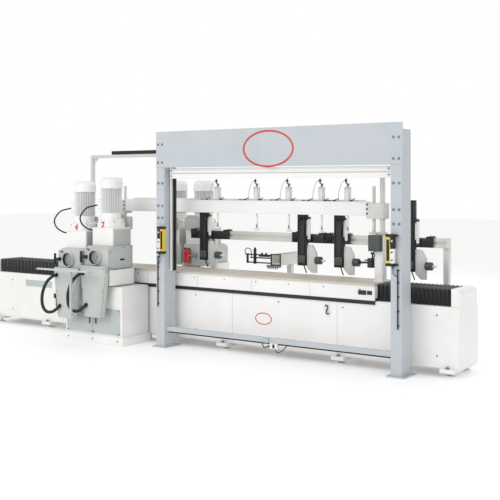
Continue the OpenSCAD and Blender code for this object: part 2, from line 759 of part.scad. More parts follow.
bed_body();
bed_feet();
guide_rails();
portal_posts();
header_panel();
lower_crossbar();
guard_guides();
light_barriers();
post_cables();
portal_bolts();
station_bases();
chain_pole();
cable_chain();
stop_rail();
support_arms();
service_unit();
bellows_left();
bellows_right();
table_frame();
table_top_plate();
table_panels();
table_runners();
bridge_columns();
end_stop();
bridge_beam();
clamp_cylinders();
clamp_rods();
guard_bar();
tray_bar();
saddle_2();
head_2();
lower_cover_2();
motor_2();
cowl_2();
rotor_2();
spindle_2();
saddle_4();
head_4();
lower_cover_4();
motor_4();
cowl_4();
rotor_4();
spindle_4();
rear_saddle();
rear_heads();
rear_motors();
spindle_1();
spindle_3();
carriage_1();
carriage_2();
carriage_3();
carriage_4();
slide_1();
slide_2();
slide_3();
slide_4();
motor_cable_2();
motor_cable_4();
suction_hose_2();
suction_hose_4();
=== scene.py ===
import math

import bmesh
import bpy
from mathutils import Matrix, Vector


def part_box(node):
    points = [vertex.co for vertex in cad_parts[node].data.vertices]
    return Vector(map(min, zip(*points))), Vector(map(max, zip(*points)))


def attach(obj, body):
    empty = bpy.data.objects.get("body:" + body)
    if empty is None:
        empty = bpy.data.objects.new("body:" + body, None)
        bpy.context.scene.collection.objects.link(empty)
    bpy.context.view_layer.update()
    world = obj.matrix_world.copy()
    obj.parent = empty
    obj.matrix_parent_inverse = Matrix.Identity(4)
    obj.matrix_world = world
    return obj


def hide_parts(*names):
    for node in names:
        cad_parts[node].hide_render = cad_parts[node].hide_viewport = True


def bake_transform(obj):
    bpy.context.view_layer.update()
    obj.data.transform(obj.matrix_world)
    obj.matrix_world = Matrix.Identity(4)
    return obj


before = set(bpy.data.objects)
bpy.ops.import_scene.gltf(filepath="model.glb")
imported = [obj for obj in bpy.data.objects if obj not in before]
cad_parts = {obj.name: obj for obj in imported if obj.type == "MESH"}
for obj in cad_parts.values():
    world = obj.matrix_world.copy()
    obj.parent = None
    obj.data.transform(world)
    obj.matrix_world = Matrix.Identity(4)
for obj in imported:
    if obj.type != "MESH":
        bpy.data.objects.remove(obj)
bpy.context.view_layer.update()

mm = 0.001
scene = bpy.context.scene


# small helpers shared by every piece

def srgb(code):
    # hex as picked in a colour wheel, turned to the linear values that shaders want
    values = []
    for i in (0, 2, 4):
        c = int(code[i:i + 2], 16) / 255
        values.append(c / 12.92 if c <= 0.04045 else ((c + 0.055) / 1.055) ** 2.4)
    return (*values, 1.0)


def addNode(tree, kind, settings=None, links=None):
    # settings go to sockets by name or number, and to the node's own options otherwise
    node = tree.nodes.new(kind)
    for key, value in (settings or {}).items():
        if isinstance(key, int) or key in node.inputs:
            node.inputs[key].default_value = value
        else:
            setattr(node, key, value)
    for key, source in (links or {}).items():
        tree.links.new(source, node.inputs[key])
    return node


def span(node):
    # a CAD node's extent in millimetres, as one (low, high) pair for each axis
    lo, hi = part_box(node)
    return [(lo[i] / mm, hi[i] / mm) for i in range(3)]


def keepMesh(name, bm, material, body, replaced=(), smooth=35):
    # closes the bmesh into a finished piece with its normals outward
    bmesh.ops.recalc_face_normals(bm, faces=bm.faces)
    mesh = bpy.data.meshes.new(name)
    bm.to_mesh(mesh)
    bm.free()
    return keepPiece(name, mesh, material, body, replaced, smooth)


def keepPiece(name, mesh, material, body, replaced=(), smooth=35):
    # material is one finish or the list that the faces' numbers count in; edges past smooth degrees stay sharp
    for m in (material if isinstance(material, (list, tuple)) else [material]):
        mesh.materials.append(m)
    mesh.polygons.foreach_set("use_smooth", [True] * len(mesh.polygons))
    mesh.set_sharp_from_angle(angle=math.radians(smooth))
    piece = bpy.data.objects.new(name, mesh)
    scene.collection.objects.link(piece)
    if replaced:
        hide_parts(*replaced)
    if body:
        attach(piece, body)
    return piece


def sided(side, a, b):
    # two distances from zero, on the side -1 or 1, as a (low, high) pair
    return tuple(sorted((side * a, side * b)))


def addBlock(bm, x, y, z, bevel=3, number=0, place=None):
    # bevelled block between two millimetre values on each axis
    sizes = [abs(v[1] - v[0]) * mm for v in (x, y, z)]
    centre = Vector([(v[0] + v[1]) / 2 * mm for v in (x, y, z)])
    made = bmesh.ops.create_cube(
        bm, size=1, matrix=(place or Matrix()) @ Matrix.Translation(centre) @ Matrix.Diagonal((*sizes, 1)))
    verts = made["verts"]
    edges = list({e for v in verts for e in v.link_edges})
    bevel = min(bevel * mm, min(sizes) * 0.3)
    if bevel > 0:
        cut = bmesh.ops.bevel(bm, geom=edges, offset=bevel, segments=2, profile=0.5, affect="EDGES")
        faces = {f for v in cut["verts"] for f in v.link_faces}
    else:
        faces = {f for v in verts for f in v.link_faces}
    for face in faces:
        face.material_index = number


def addPrism(bm, outline, low, high, axis, bevel=2, number=0, place=None):
    # an outline in the other two axes, in order, drawn out along the named axis
    rest = [i for i in range(3) if i != axis]
    rings = []
    for level in (low, high):
        ring = []
        for point in outline:
            at = [0, 0, 0]
            at[rest[0]], at[rest[1]], at[axis] = point[0] * mm, point[1] * mm, level * mm
            ring.append(bm.verts.new((place or Matrix()) @ Vector(at)))
        rings.append(ring)
    faces = [bm.faces.new(rings[0]), bm.faces.new(rings[1])]
    for i in range(len(outline)):
        j = (i + 1) % len(outline)
        faces.append(bm.faces.new((rings[0][i], rings[0][j], rings[1][j], rings[1][i])))
    bmesh.ops.recalc_face_normals(bm, faces=faces)
    edges = list({e for f in faces for e in f.edges})
    if bevel > 0:
        cut = bmesh.ops.bevel(bm, geom=edges, offset=bevel * mm, segments=2, profile=0.5, affect="EDGES")
        faces = {f for v in cut["verts"] for f in v.link_faces}
    for face in faces:
        face.material_index = number


def addTurned(bm, base, axis, profile, sides=40, number=0, place=None):
    # a turned shape: (radius, height) pairs round an axis from base, closed wherever the radius is 0
    direction = Vector(axis).normalized()
    turn = direction.to_track_quat("Z", "Y").to_matrix()
    rings = []
    for radius, height in profile:
        if radius < 1e-6:
            ring = [bm.verts.new((place or Matrix()) @ ((Vector(base) + direction * height) * mm))]
        else:
            ring = []
            for i in range(sides):
                a = 2 * math.pi * i / sides
                at = turn @ Vector((radius * math.cos(a), radius * math.sin(a), height))
                ring.append(bm.verts.new((place or Matrix()) @ ((Vector(base) + at) * mm)))
        rings.append(ring)
    for a, b in zip(rings, rings[1:]):
        for i in range(sides):
            j = (i + 1) % sides
            if len(a) == 1 and len(b) == 1:
                continue
            if len(a) == 1:
                corners = (a[0], b[j], b[i])
            elif len(b) == 1:
                corners = (a[i], a[j], b[0])
            else:
                corners = (a[i], a[j], b[j], b[i])
            bm.faces.new(corners).material_index = number


def addRod(bm, start, end, radius, sides=24, chamfer=1.5, number=0, place=None):
    # a round bar from start to end with chamfered rims
    start, end = Vector(start), Vector(end)
    length = (end - start).length
    c = min(chamfer, radius * 0.4, length * 0.3)
    profile = [(0, 0), (radius - c, 0), (radius, c), (radius, length - c), (radius - c, length), (0, length)]
    addTurned(bm, start, end - start, profile, sides, number, place)


def smoothPath(points, steps=6):
    # Catmull-Rom line through the points
    points = [Vector(p) for p in points]
    ends = [points[0] * 2 - points[1]] + points + [points[-1] * 2 - points[-2]]
    line = []
    for i in range(1, len(ends) - 2):
        a, b, c, d = ends[i - 1:i + 3]
        for k in range(steps):
            t = k / steps
            line.append(0.5 * (2 * b + (c - a) * t + (2 * a - 5 * b + 4 * c - d) * t * t
                               + (3 * b - a - 3 * c + d) * t ** 3))
    return line + [points[-1]]


def addTube(bm, points, radius, sides=10, number=0, place=None, rings=None):
    # a tube along points; rings, when given, is one radius factor for each point
    points = [Vector(p) for p in points]
    side = None
    last = None
    for i, point in enumerate(points):
        along = (points[min(i + 1, len(points) - 1)] - points[max(i - 1, 0)]).normalized()
        if side is None:
            side = along.orthogonal().normalized()
        side = (side - along * side.dot(along)).normalized()
        other = along.cross(side)
        r = radius * (rings[i] if rings else 1)
        ring = []
        for k in range(sides):
            a = 2 * math.pi * k / sides
            at = point + side * (r * math.cos(a)) + other * (r * math.sin(a))
            ring.append(bm.verts.new((place or Matrix()) @ (at * mm)))
        if last:
            for k in range(sides):
                j = (k + 1) % sides
                bm.faces.new((last[k], last[j], ring[j], ring[k])).material_index = number
        else:
            bm.faces.new(ring[::-1]).material_index = number
        last = ring
    bm.faces.new(last).material_index = number


# camera, floor and light

view = {"place": (6.813, -8.769, 1.881), "turn": 34.65, "lens": 66.7, "shiftY": -0.13, "reach": 200}
camera = bpy.data.objects.new("camera", bpy.data.cameras.new("camera"))
camera.data.lens = view["lens"]
camera.data.shift_y = view["shiftY"]
camera.data.clip_end = view["reach"]
camera.location = view["place"]
camera.rotation_euler = (math.radians(90), 0, math.radians(view["turn"]))
scene.collection.objects.link(camera)
scene.camera = camera
scene.view_settings.view_transform = "Standard"

studio = {
    "floor": "FBFBFA", "floorRoughness": 0.55, "floorGlow": 0.16, "floorHalf": 40, "floorDrop": 0.001, "sky": 0.8,
    "backdrop": 1.0, "aim": (0, 0, 0.9),
    "lamps": {"key": (210, 5, (-1.5, -8.5, 5.5)), "fill": (50, 7, (8.5, -3.5, 4.5)), "rim": (80, 5, (1.0, 7.0, 6.0))},
}
floorMaterial = bpy.data.materials.new("studioFloor")
floorMaterial.use_nodes = True
floorShader = floorMaterial.node_tree.nodes["Principled BSDF"]
floorShader.inputs["Base Color"].default_value = srgb(studio["floor"])
floorShader.inputs["Roughness"].default_value = studio["floorRoughness"]
floorShader.inputs["Emission Color"].default_value = (1, 1, 1, 1)
floorShader.inputs["Emission Strength"].default_value = studio["floorGlow"]
floorMesh = bpy.data.meshes.new("studioFloor")
floorMesh.from_pydata([(i * studio["floorHalf"], j * studio["floorHalf"], -studio["floorDrop"])
                       for i, j in ((-1, -1), (1, -1), (1, 1), (-1, 1))], [], [(0, 1, 2, 3)])
floorMesh.materials.append(floorMaterial)
floor = bpy.data.objects.new("studioFloor", floorMesh)
scene.collection.objects.link(floor)

world = bpy.data.worlds.new("studio")
world.use_nodes = True
world.node_tree.nodes["Background"].inputs[0].default_value = (1, 1, 1, 1)
# the backdrop reads as near white, while the machine is lit by a softer sky
backdrop = addNode(world.node_tree, "ShaderNodeMapRange", {"To Min": studio["sky"], "To Max": studio["backdrop"]},
                   {"Value": addNode(world.node_tree, "ShaderNodeLightPath").outputs["Is Camera Ray"]})
world.node_tree.links.new(backdrop.outputs[0], world.node_tree.nodes["Background"].inputs[1])
scene.world = world
for name, (power, size, place) in studio["lamps"].items():
    lamp = bpy.data.objects.new(name, bpy.data.lights.new(name, "AREA"))
    lamp.data.energy = power
    lamp.data.size = size
    lamp.location = place
    lamp.rotation_euler = (Vector(studio["aim"]) - Vector(place)).to_track_quat("-Z", "Y").to_euler()
    scene.collection.objects.link(lamp)
print("stage: camera, floor and light")


# finishes

surface = {"coatRoughness": 0.25, "driftScale": 1.98, "driftDetail": 4.0, "spread": 0.18, "relief": 0.12}


def finish(name, colour, shade, roughness, grain, bump, metallic=0.0, stretch=(1, 1, 1), coat=0.0, sheen=0.0,
           transmission=0.0, soft=2.0):
    # colour drifts slowly to shade; grain is the surface texture's spacing in millimetres, stretched where brushed
    material = bpy.data.materials.new(name)
    material.use_nodes = True
    tree = material.node_tree
    shader = tree.nodes["Principled BSDF"]
    shader.inputs["Metallic"].default_value = metallic
    shader.inputs["Coat Weight"].default_value = coat
    shader.inputs["Coat Roughness"].default_value = surface["coatRoughness"]
    shader.inputs["Sheen Weight"].default_value = sheen
    shader.inputs["Transmission Weight"].default_value = transmission
    spot = addNode(tree, "ShaderNodeTexCoord").outputs["Object"]
    drift = addNode(tree, "ShaderNodeTexNoise",
                    {"Scale": surface["driftScale"], "Detail": surface["driftDetail"], "Roughness": 0.6},
                    {"Vector": spot})
    mix = addNode(tree, "ShaderNodeMix", {"data_type": "RGBA", 6: srgb(colour), 7: srgb(shade)})
    ramp = addNode(tree, "ShaderNodeMapRange", {"From Min": 0.42, "From Max": 0.78, "To Min": 0.0, "To Max": 1.0},
                   {"Value": drift.outputs[0]})
    tree.links.new(ramp.outputs[0], mix.inputs[0])
    tree.links.new(mix.outputs[2], shader.inputs["Base Color"])
    lay = addNode(tree, "ShaderNodeMapping", {"Scale": stretch}, {"Vector": spot})
    texture = addNode(tree, "ShaderNodeTexNoise", {"Scale": 1 / (grain * mm), "Detail": 2.0},
                      {"Vector": lay.outputs[0]})
    low, high = roughness * (1 - surface["spread"]), min(roughness * (1 + surface["spread"]), 1)
    gloss = addNode(tree, "ShaderNodeMapRange", {"From Min": 0.3, "From Max": 0.7, "To Min": low, "To Max": high},
                    {"Value": texture.outputs[0]})
    tree.links.new(gloss.outputs[0], shader.inputs["Roughness"])
    edge = addNode(tree, "ShaderNodeBevel", {"samples": 4, "Radius": soft * mm})
    relief = addNode(tree, "ShaderNodeBump", {"Strength": bump, "Distance": grain * mm * surface["relief"]},
                     {"Height": texture.outputs[0], "Normal": edge.outputs[0]})
    tree.links.new(relief.outputs[0], shader.inputs["Normal"])
    return material


# stoved powder enamel on sheet steel: an even satin sheet with a fine orange-peel ripple in the highlights
whiteEnamel = finish("whiteEnamel", "F2F1F0", "EAE8E5", 0.42, 7, 0.10, coat=0.15)
blueGrayEnamel = finish("blueGrayEnamel", "BDC3C8", "B5BCC1", 0.46, 7, 0.10, coat=0.1)
# stoved enamel again, in two more grays and in the beige of the table top
lightGrayEnamel = finish("lightGrayEnamel", "D5D6D4", "CBCCCA", 0.45, 7, 0.10, coat=0.1)
panelGrayEnamel = finish("panelGrayEnamel", "BCC3C3", "B3BBBB", 0.45, 7, 0.10, coat=0.1)
beigeEnamel = finish("beigeEnamel", "CBC3B8", "BFB6AA", 0.5, 7, 0.08)
# hammered machine enamel: the larger ripple of a sprayed casting, so highlights break up
hammerGray = finish("hammerGray", "C3C7C4", "B6BBB7", 0.48, 14, 0.22, coat=0.1)
# charcoal paint with a hammered ripple nearly as large
deepGray = finish("deepGray", "4A504E", "3E4442", 0.5, 12, 0.2)
# oil-blacked steel: nearly black with a low satin gleam along the edges
blackSteel = finish("blackSteel", "0F1111", "191B1B", 0.42, 6, 0.12, coat=0.1)
# injection-moulded ABS: fine spark-eroded grain, dull sheen
blackPlastic = finish("blackPlastic", "0F1111", "171919", 0.52, 3, 0.18)
whitePlastic = finish("whitePlastic", "ECECEA", "E2E1DE", 0.4, 4, 0.08)
# glossy signal paint: strong colour under a clear, sharper highlight
yellowEnamel = finish("yellowEnamel", "E6C51E", "DDB814", 0.35, 6, 0.06, coat=0.4)
redEnamel = finish("redEnamel", "D02A2A", "BE2026", 0.32, 6, 0.06, coat=0.5)
# extruded aluminium, satin anodised: faint draw lines along the length
anodised = finish("anodisedAluminium", "DDDBD7", "CFCCC6", 0.36, 5, 0.1, metallic=0.35, stretch=(0.04, 1, 1))
# ground and turned steel: bright, with fine cross marks from the wheel
groundSteel = finish("groundSteel", "C6C7C8", "B2B3B4", 0.26, 4, 0.06, metallic=1.0, stretch=(1, 1, 0.15))
# zinc-plated fasteners: duller gray metal that sets bolts off from the paint
zincSteel = finish("zincSteel", "8C9094", "7A7D80", 0.4, 5, 0.1, metallic=0.9)
# machined cast iron: mid gray, half metallic, coarser than the ground steel
ironCast = finish("machinedIron", "8B8D8C", "787A79", 0.45, 6, 0.15, metallic=0.6)
# soft PVC hose and cable sheath: deep black, a wide soft highlight
blackRubber = finish("blackRubber", "121414", "1A1C1C", 0.42, 3, 0.08)
# moulded polycarbonate bowl: amber, light passes through the thin wall
amberBowl = finish("amberPolycarbonate", "8A4A14", "6A350D", 0.2, 8, 0.02, transmission=0.35)
# polyurethane air line: milky, half clear
airLine = finish("milkyPolyurethane", "DADAD4", "CFCFC8", 0.3, 8, 0.02, transmission=0.25)


cloth = {"weave": 5, "depth": 0.0008, "strength": 0.25, "distortion": 0.4}


def bellowsCloth():
    # polyurethane-coated polyester: a plain weave pressed through the coat, drawn 5 mm wide so that it shows
    material = finish("bellowsCloth", "0F1415", "182020", 0.6, 5, 0.0, sheen=0.25, soft=0.5)
    tree = material.node_tree
    spot = addNode(tree, "ShaderNodeTexCoord").outputs["Object"]
    weave = []
    for direction in ("Y", "Z"):
        weave.append(addNode(tree, "ShaderNodeTexWave",
                             {"wave_type": "BANDS", "bands_direction": direction,
                              "Scale": 0.8 / (cloth["weave"] * mm * math.pi), "Distortion": cloth["distortion"]},
                             {"Vector": spot}).outputs[1])
    both = addNode(tree, "ShaderNodeMath", {"operation": "MULTIPLY"}, {0: weave[0], 1: weave[1]})
    shader = tree.nodes["Principled BSDF"]
    relief = addNode(tree, "ShaderNodeBump", {"Strength": cloth["strength"], "Distance": cloth["depth"]},
                     {"Height": both.outputs[0]})
    tree.links.new(relief.outputs[0], shader.inputs["Normal"])
    return material


pleatCloth = bellowsCloth()
print("stage: finishes")


# free cords: motor leads and dust hoses, on the routes of their CAD solids

cordLine = {
    "leadRadius": 9, "hoseRadius": 19, "steps": 10, "rib": 0.03,
    "lead": [(-186, -24, 1640), (-215, -60, 1632), (-270, -150, 1600), (-303, -215, 1500),
             (-262, -222, 1410), (-222, -150, 1350), (-200, -50, 1335), (-179, -30, 1335)],
    "hose": [(-150, -336, 840), (-180, -368, 822), (-240, -398, 760), (-300, -400, 660), (-325, -400, 560),
             (-310, -400, 460), (-250, -396, 400), (-170, -380, 400), (-105, -357, 445), (-95, -336, 470)],
}


cowlHigh = 1975


def unitPlace(cowlNode):
    # a working unit's own frame: motor axis at x = y = 0, heights as on the unit that hangs at its reference height
    x, y, z = span(cowlNode)
    return Matrix.Translation(Vector(((x[0] + x[1]) / 2, (y[0] + y[1]) / 2, z[1] - cowlHigh)) * mm)


places = {"2": unitPlace("cowl_2"), "4": unitPlace("cowl_4")}
for tag, place in places.items():
    for kind, radius, node, stiffness in (("lead", cordLine["leadRadius"], "motor_cable_", "medium"),
                                          ("hose", cordLine["hoseRadius"], "suction_hose_", "stiff")):
        line = smoothPath(cordLine[kind], cordLine["steps"])
        bm = bmesh.new()
        rib = cordLine["rib"] if kind == "hose" else 0
        ribs = [1 + (rib if i % 2 else -rib) for i in range(len(line))]
        addTube(bm, line, radius, 16, 0, place, ribs)
        cord = keepMesh(kind + "Cord" + tag, bm, blackRubber, "unit_" + tag, (node + tag,), 50)
print("stage: cords")


# geometry node trees for what repeats

def newTree(name, sockets):
    tree = bpy.data.node_groups.new(name, "GeometryNodeTree")
    tree.interface.new_socket("Geometry", in_out="INPUT", socket_type="NodeSocketGeometry")
    for label, kind in list(sockets) + [("Material", "NodeSocketMaterial")]:
        tree.interface.new_socket(label, in_out="INPUT", socket_type=kind)
    tree.interface.new_socket("Geometry", in_out="OUTPUT", socket_type="NodeSocketGeometry")
    return tree, addNode(tree, "NodeGroupInput").outputs


def closeTree(tree, start, last):
    real = addNode(tree, "GeometryNodeRealizeInstances", None, {"Geometry": last})
    painted = addNode(tree, "GeometryNodeSetMaterial", None,
                      {"Geometry": real.outputs[0], "Material": start["Material"]})
    addNode(tree, "NodeGroupOutput", None, {0: painted.outputs[0]})
    return tree


def ringTree():
    # the base shape, pointing along +X, stands round a vertical axis
    tree, start = newTree("ringOf", [("Count", "NodeSocketInt"), ("Radius", "NodeSocketFloat"),
                                     ("Centre", "NodeSocketVector"), ("Turn", "NodeSocketFloat")])
    circle = addNode(tree, "GeometryNodeMeshCircle", None, {"Vertices": start["Count"], "Radius": start["Radius"]})
    aim = addNode(tree, "FunctionNodeAlignRotationToVector", {"axis": "X"},
                  {"Vector": addNode(tree, "GeometryNodeInputPosition").outputs[0]})
    copies = addNode(tree, "GeometryNodeInstanceOnPoints", None,
                     {"Points": circle.outputs[0], "Instance": start["Geometry"], "Rotation": aim.outputs[0]})
    spin = addNode(tree, "ShaderNodeCombineXYZ", None, {"Z": start["Turn"]})
    moved = addNode(tree, "GeometryNodeTransform", None,
                    {"Geometry": copies.outputs[0], "Translation": start["Centre"], "Rotation": spin.outputs[0]})
    return closeTree(tree, start, moved.outputs[0])


def rowTree():
    # the base shape repeats from the first place to the last
    tree, start = newTree("rowOf", [("Count", "NodeSocketInt"), ("First", "NodeSocketVector"),
                                    ("Last", "NodeSocketVector")])
    line = addNode(tree, "GeometryNodeMeshLine", {"mode": "END_POINTS"},
                   {"Count": start["Count"], "Start Location": start["First"], "Offset": start["Last"]})
    copies = addNode(tree, "GeometryNodeInstanceOnPoints", None,
                     {"Points": line.outputs[0], "Instance": start["Geometry"]})
    return closeTree(tree, start, copies.outputs[0])


def screwTree():
    # a washer and a hexagon head on every point, standing along the point's aim
    tree, start = newTree("screwsOn", [("Radius", "NodeSocketFloat"), ("Height", "NodeSocketFloat"),
                                       ("Seed", "NodeSocketInt")])
    wide = addNode(tree, "ShaderNodeMath", {"operation": "MULTIPLY", 1: 1.35}, {0: start["Radius"]})
    thin = addNode(tree, "ShaderNodeMath", {"operation": "MULTIPLY", 1: 0.25}, {0: start["Height"]})
    washer = addNode(tree, "GeometryNodeMeshCone", {"Vertices": 14},
                     {"Radius Top": wide.outputs[0], "Radius Bottom": wide.outputs[0], "Depth": thin.outputs[0]})
    narrow = addNode(tree, "ShaderNodeMath", {"operation": "MULTIPLY", 1: 0.86}, {0: start["Radius"]})
    head = addNode(tree, "GeometryNodeMeshCone", {"Vertices": 6},
                   {"Radius Top": narrow.outputs[0], "Radius Bottom": start["Radius"], "Depth": start["Height"]})
    both = addNode(tree, "GeometryNodeJoinGeometry")
    tree.links.new(washer.outputs[0], both.inputs[0])
    tree.links.new(head.outputs[0], both.inputs[0])
    aim = addNode(tree, "FunctionNodeAlignRotationToVector", {"axis": "Z"},
                  {"Vector": addNode(tree, "GeometryNodeInputNamedAttribute",
                                     {"data_type": "FLOAT_VECTOR", "Name": "aim"}).outputs[0]})
    chance = addNode(tree, "FunctionNodeRandomValue", {"data_type": "FLOAT", 2: 0.0, 3: 6.28},
                     {"Seed": start["Seed"]})
    spin = addNode(tree, "FunctionNodeAxisAngleToRotation", {"Axis": (0, 0, 1)}, {"Angle": chance.outputs[1]})
    turned = addNode(tree, "FunctionNodeRotateRotation", {"rotation_space": "LOCAL"},
                     {"Rotation": aim.outputs[0], "Rotate By": spin.outputs[0]})
    copies = addNode(tree, "GeometryNodeInstanceOnPoints", None,
                     {"Points": start["Geometry"], "Instance": both.outputs[0], "Rotation": turned.outputs[0]})
    return closeTree(tree, start, copies.outputs[0])


def pleatTree():
    # the base outline is swept along a line and pulled in at every second step, which makes sharp pleats
    tree, start = newTree("pleatsAlong", [("Steps", "NodeSocketInt"), ("First", "NodeSocketVector"),
                                          ("Last", "NodeSocketVector"), ("Depth", "NodeSocketFloat")])
    line = addNode(tree, "GeometryNodeCurvePrimitiveLine", None, {"Start": start["First"], "End": start["Last"]})
    even = addNode(tree, "GeometryNodeResampleCurve", None, {"Curve": line.outputs[0], "Count": start["Steps"]})
    half = addNode(tree, "ShaderNodeMath", {"operation": "MODULO", 1: 2.0},
                   {0: addNode(tree, "GeometryNodeInputIndex").outputs[0]})
    inward = addNode(tree, "ShaderNodeMath", {"operation": "MULTIPLY"}, {0: half.outputs[0], 1: start["Depth"]})
    size = addNode(tree, "ShaderNodeMath", {"operation": "SUBTRACT", 0: 1.0}, {1: inward.outputs[0]})
    sized = addNode(tree, "GeometryNodeSetCurveRadius", None, {"Curve": even.outputs[0], "Radius": size.outputs[0]})
    outline = addNode(tree, "GeometryNodeMeshToCurve", None, {"Mesh": start["Geometry"]})
    swept = addNode(tree, "GeometryNodeCurveToMesh", None,
                    {"Curve": sized.outputs[0], "Profile Curve": outline.outputs[0], "Scale": size.outputs[0]})
    return closeTree(tree, start, swept.outputs[0])


ringOf, rowOf, screwsOn, pleatsAlong = ringTree(), rowTree(), screwTree(), pleatTree()


def grown(name, base, tree, inputs, material):
    # the tree's result on the base mesh, as a plain mesh
    holder = bpy.data.objects.new(name + "Base", base)
    scene.collection.objects.link(holder)
    modifier = holder.modifiers.new("tree", "NODES")
    modifier.node_group = tree
    ids = {item.name: item.identifier for item in tree.interface.items_tree if item.in_out == "INPUT"}
    for label, value in dict(inputs, Material=material).items():
        modifier[ids[label]] = value
    result = bpy.data.meshes.new_from_object(holder.evaluated_get(bpy.context.evaluated_depsgraph_get()))
    bpy.data.objects.remove(holder)
    result.name = name
    result.materials.clear()
    result.polygons.foreach_set("material_index", [0] * len(result.polygons))
    return result


def shapeMesh(name, build):
    bm = bmesh.new()
    build(bm)
    bmesh.ops.recalc_face_normals(bm, faces=bm.faces)
    mesh = bpy.data.meshes.new(name)
    bm.to_mesh(mesh)
    bm.free()
    return mesh


def ringPiece(name, build, count, radius, centre, material, body, turn=0.0):
    base = shapeMesh(name + "Base", build)
    mesh = grown(name, base, ringOf, {"Count": count, "Radius": radius * mm, "Centre": tuple(centre), "Turn": turn},
                 material)
    return keepPiece(name, mesh, material, body)


def rowPiece(name, build, count, first, last, material, body, replaced=()):
    base = shapeMesh(name + "Base", build)
    mesh = grown(name, base, rowOf, {"Count": count, "First": tuple(Vector(first) * mm),
                                     "Last": tuple(Vector(last) * mm)}, material)
    return keepPiece(name, mesh, material, body, replaced)


def screwPiece(name, spots, radius, height, body, material=None, place=None, replaced=()):
    # spots are (place, aim) pairs in millimetres
    material = material or zincSteel
    base = bpy.data.meshes.new(name + "Base")
    base.from_pydata([(place or Matrix()) @ (Vector(p) * mm) for p, aim in spots], [], [])
    aims = base.attributes.new("aim", "FLOAT_VECTOR", "POINT")
    turn = (place or Matrix()).to_3x3()
    for i, (p, aim) in enumerate(spots):
        aims.data[i].vector = turn @ Vector(aim)
    mesh = grown(name, base, screwsOn, {"Radius": radius * mm, "Height": height * mm, "Seed": 7}, material)
    return keepPiece(name, mesh, material, body, replaced)


print("stage: repeating trees")


# CAD nodes whose shape is right keep it, with their own finish

nodeFinish = {
    "bed_body": whiteEnamel, "bed_feet": whiteEnamel, "guide_rails": groundSteel, "portal_posts": blueGrayEnamel,
    "header_panel": blueGrayEnamel, "lower_crossbar": blueGrayEnamel, "post_cables": blackRubber,
    "chain_pole": lightGrayEnamel, "stop_rail": anodised, "support_arms": anodised, "table_frame": ironCast,
    "table_top_plate": beigeEnamel, "table_runners": groundSteel, "tray_bar": hammerGray,
    "rotor_2": groundSteel, "rotor_4": groundSteel, "spindle_1": groundSteel, "spindle_2": groundSteel,
    "spindle_3": groundSteel, "spindle_4": groundSteel,
}
for node, material in nodeFinish.items():
    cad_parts[node].material_slots[0].material = material


# way covers over the bed

bellows = {"leftPitch": 66, "rightPitch": 44, "depth": 0.11, "corner": 14, "wall": 2.0}


def wayCover(name, node, pitch):
    x, y, z = span(node)
    inset, corner = bellows["wall"], bellows["corner"]
    half, top, low = y[1] - inset, z[1] - inset, z[0] + inset
    outline = [(-half, low), (-half, top - corner)]
    outline += [(-half + corner - corner * math.cos(a), top - corner + corner * math.sin(a))
                for a in (0.39, 0.79, 1.18)]
    flat = 2 * (half - corner)
    outline += [(-half + corner, top)] + [(-half + corner + flat * k / 6, top) for k in range(1, 6)]
    outline += [(-p[0], p[1]) for p in outline[:6][::-1]]
    base = bpy.data.meshes.new(name + "Base")
    # the tree lays this outline crosswise, with its second axis pointing down
    base.from_pydata([(p[0] * mm, (low - p[1]) * mm, 0) for p in outline],
                     [(i, i + 1) for i in range(len(outline) - 1)], [])
    steps = int((x[1] - x[0]) / pitch) * 2 + 1
    mesh = grown(name, base, pleatsAlong, {
        "Steps": steps, "First": (x[0] * mm, 0, low * mm), "Last": (x[1] * mm, 0, low * mm),
        "Depth": bellows["depth"]}, pleatCloth)
    bm = bmesh.new()
    bm.from_mesh(mesh)
    bmesh.ops.remove_doubles(bm, verts=bm.verts, dist=0.0001)
    bmesh.ops.recalc_face_normals(bm, faces=bm.faces)
    # on an open channel the faces of the top have to look up
    if sum(f.normal.z * f.calc_area() for f in bm.faces) < 0:
        bmesh.ops.reverse_faces(bm, faces=bm.faces)
    bm.to_mesh(mesh)
    bm.free()
    piece = keepPiece(name, mesh, pleatCloth, None, (node,), 20)
    wall = piece.modifiers.new("wall", "SOLIDIFY")
    wall.thickness = bellows["wall"] * mm
    wall.offset = -1
    solid = bpy.data.meshes.new_from_object(piece.evaluated_get(bpy.context.evaluated_depsgraph_get()))
    piece.modifiers.clear()
    piece.data = solid
    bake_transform(piece)


wayCover("leftBellows", "bellows_left", bellows["leftPitch"])
wayCover("rightBellows", "bellows_right", bellows["rightPitch"])
print("stage: way covers")


# front working units: saddle, head, covers, motor

unit = {
    "saddle": (-205, 205), "saddleBack": 165, "saddleFront": -225,
    "headHalf": 190, "front": -262, "back": 170, "low": 890, "top": 1160, "chamfer": 70,
    "port": 90, "portHeight": 1030, "portOut": 45, "portWall": 10,
    "boxHalf": 165, "mount": 1375, "ring": 165, "ringTop": 1455, "ears": 132, "flange": 120, "flangeTop": 1550,
    "motor": 113, "motorTop": 1840, "fin": 128, "fins": 36, "cowl": 138, "cowlTop": cowlHigh,
}


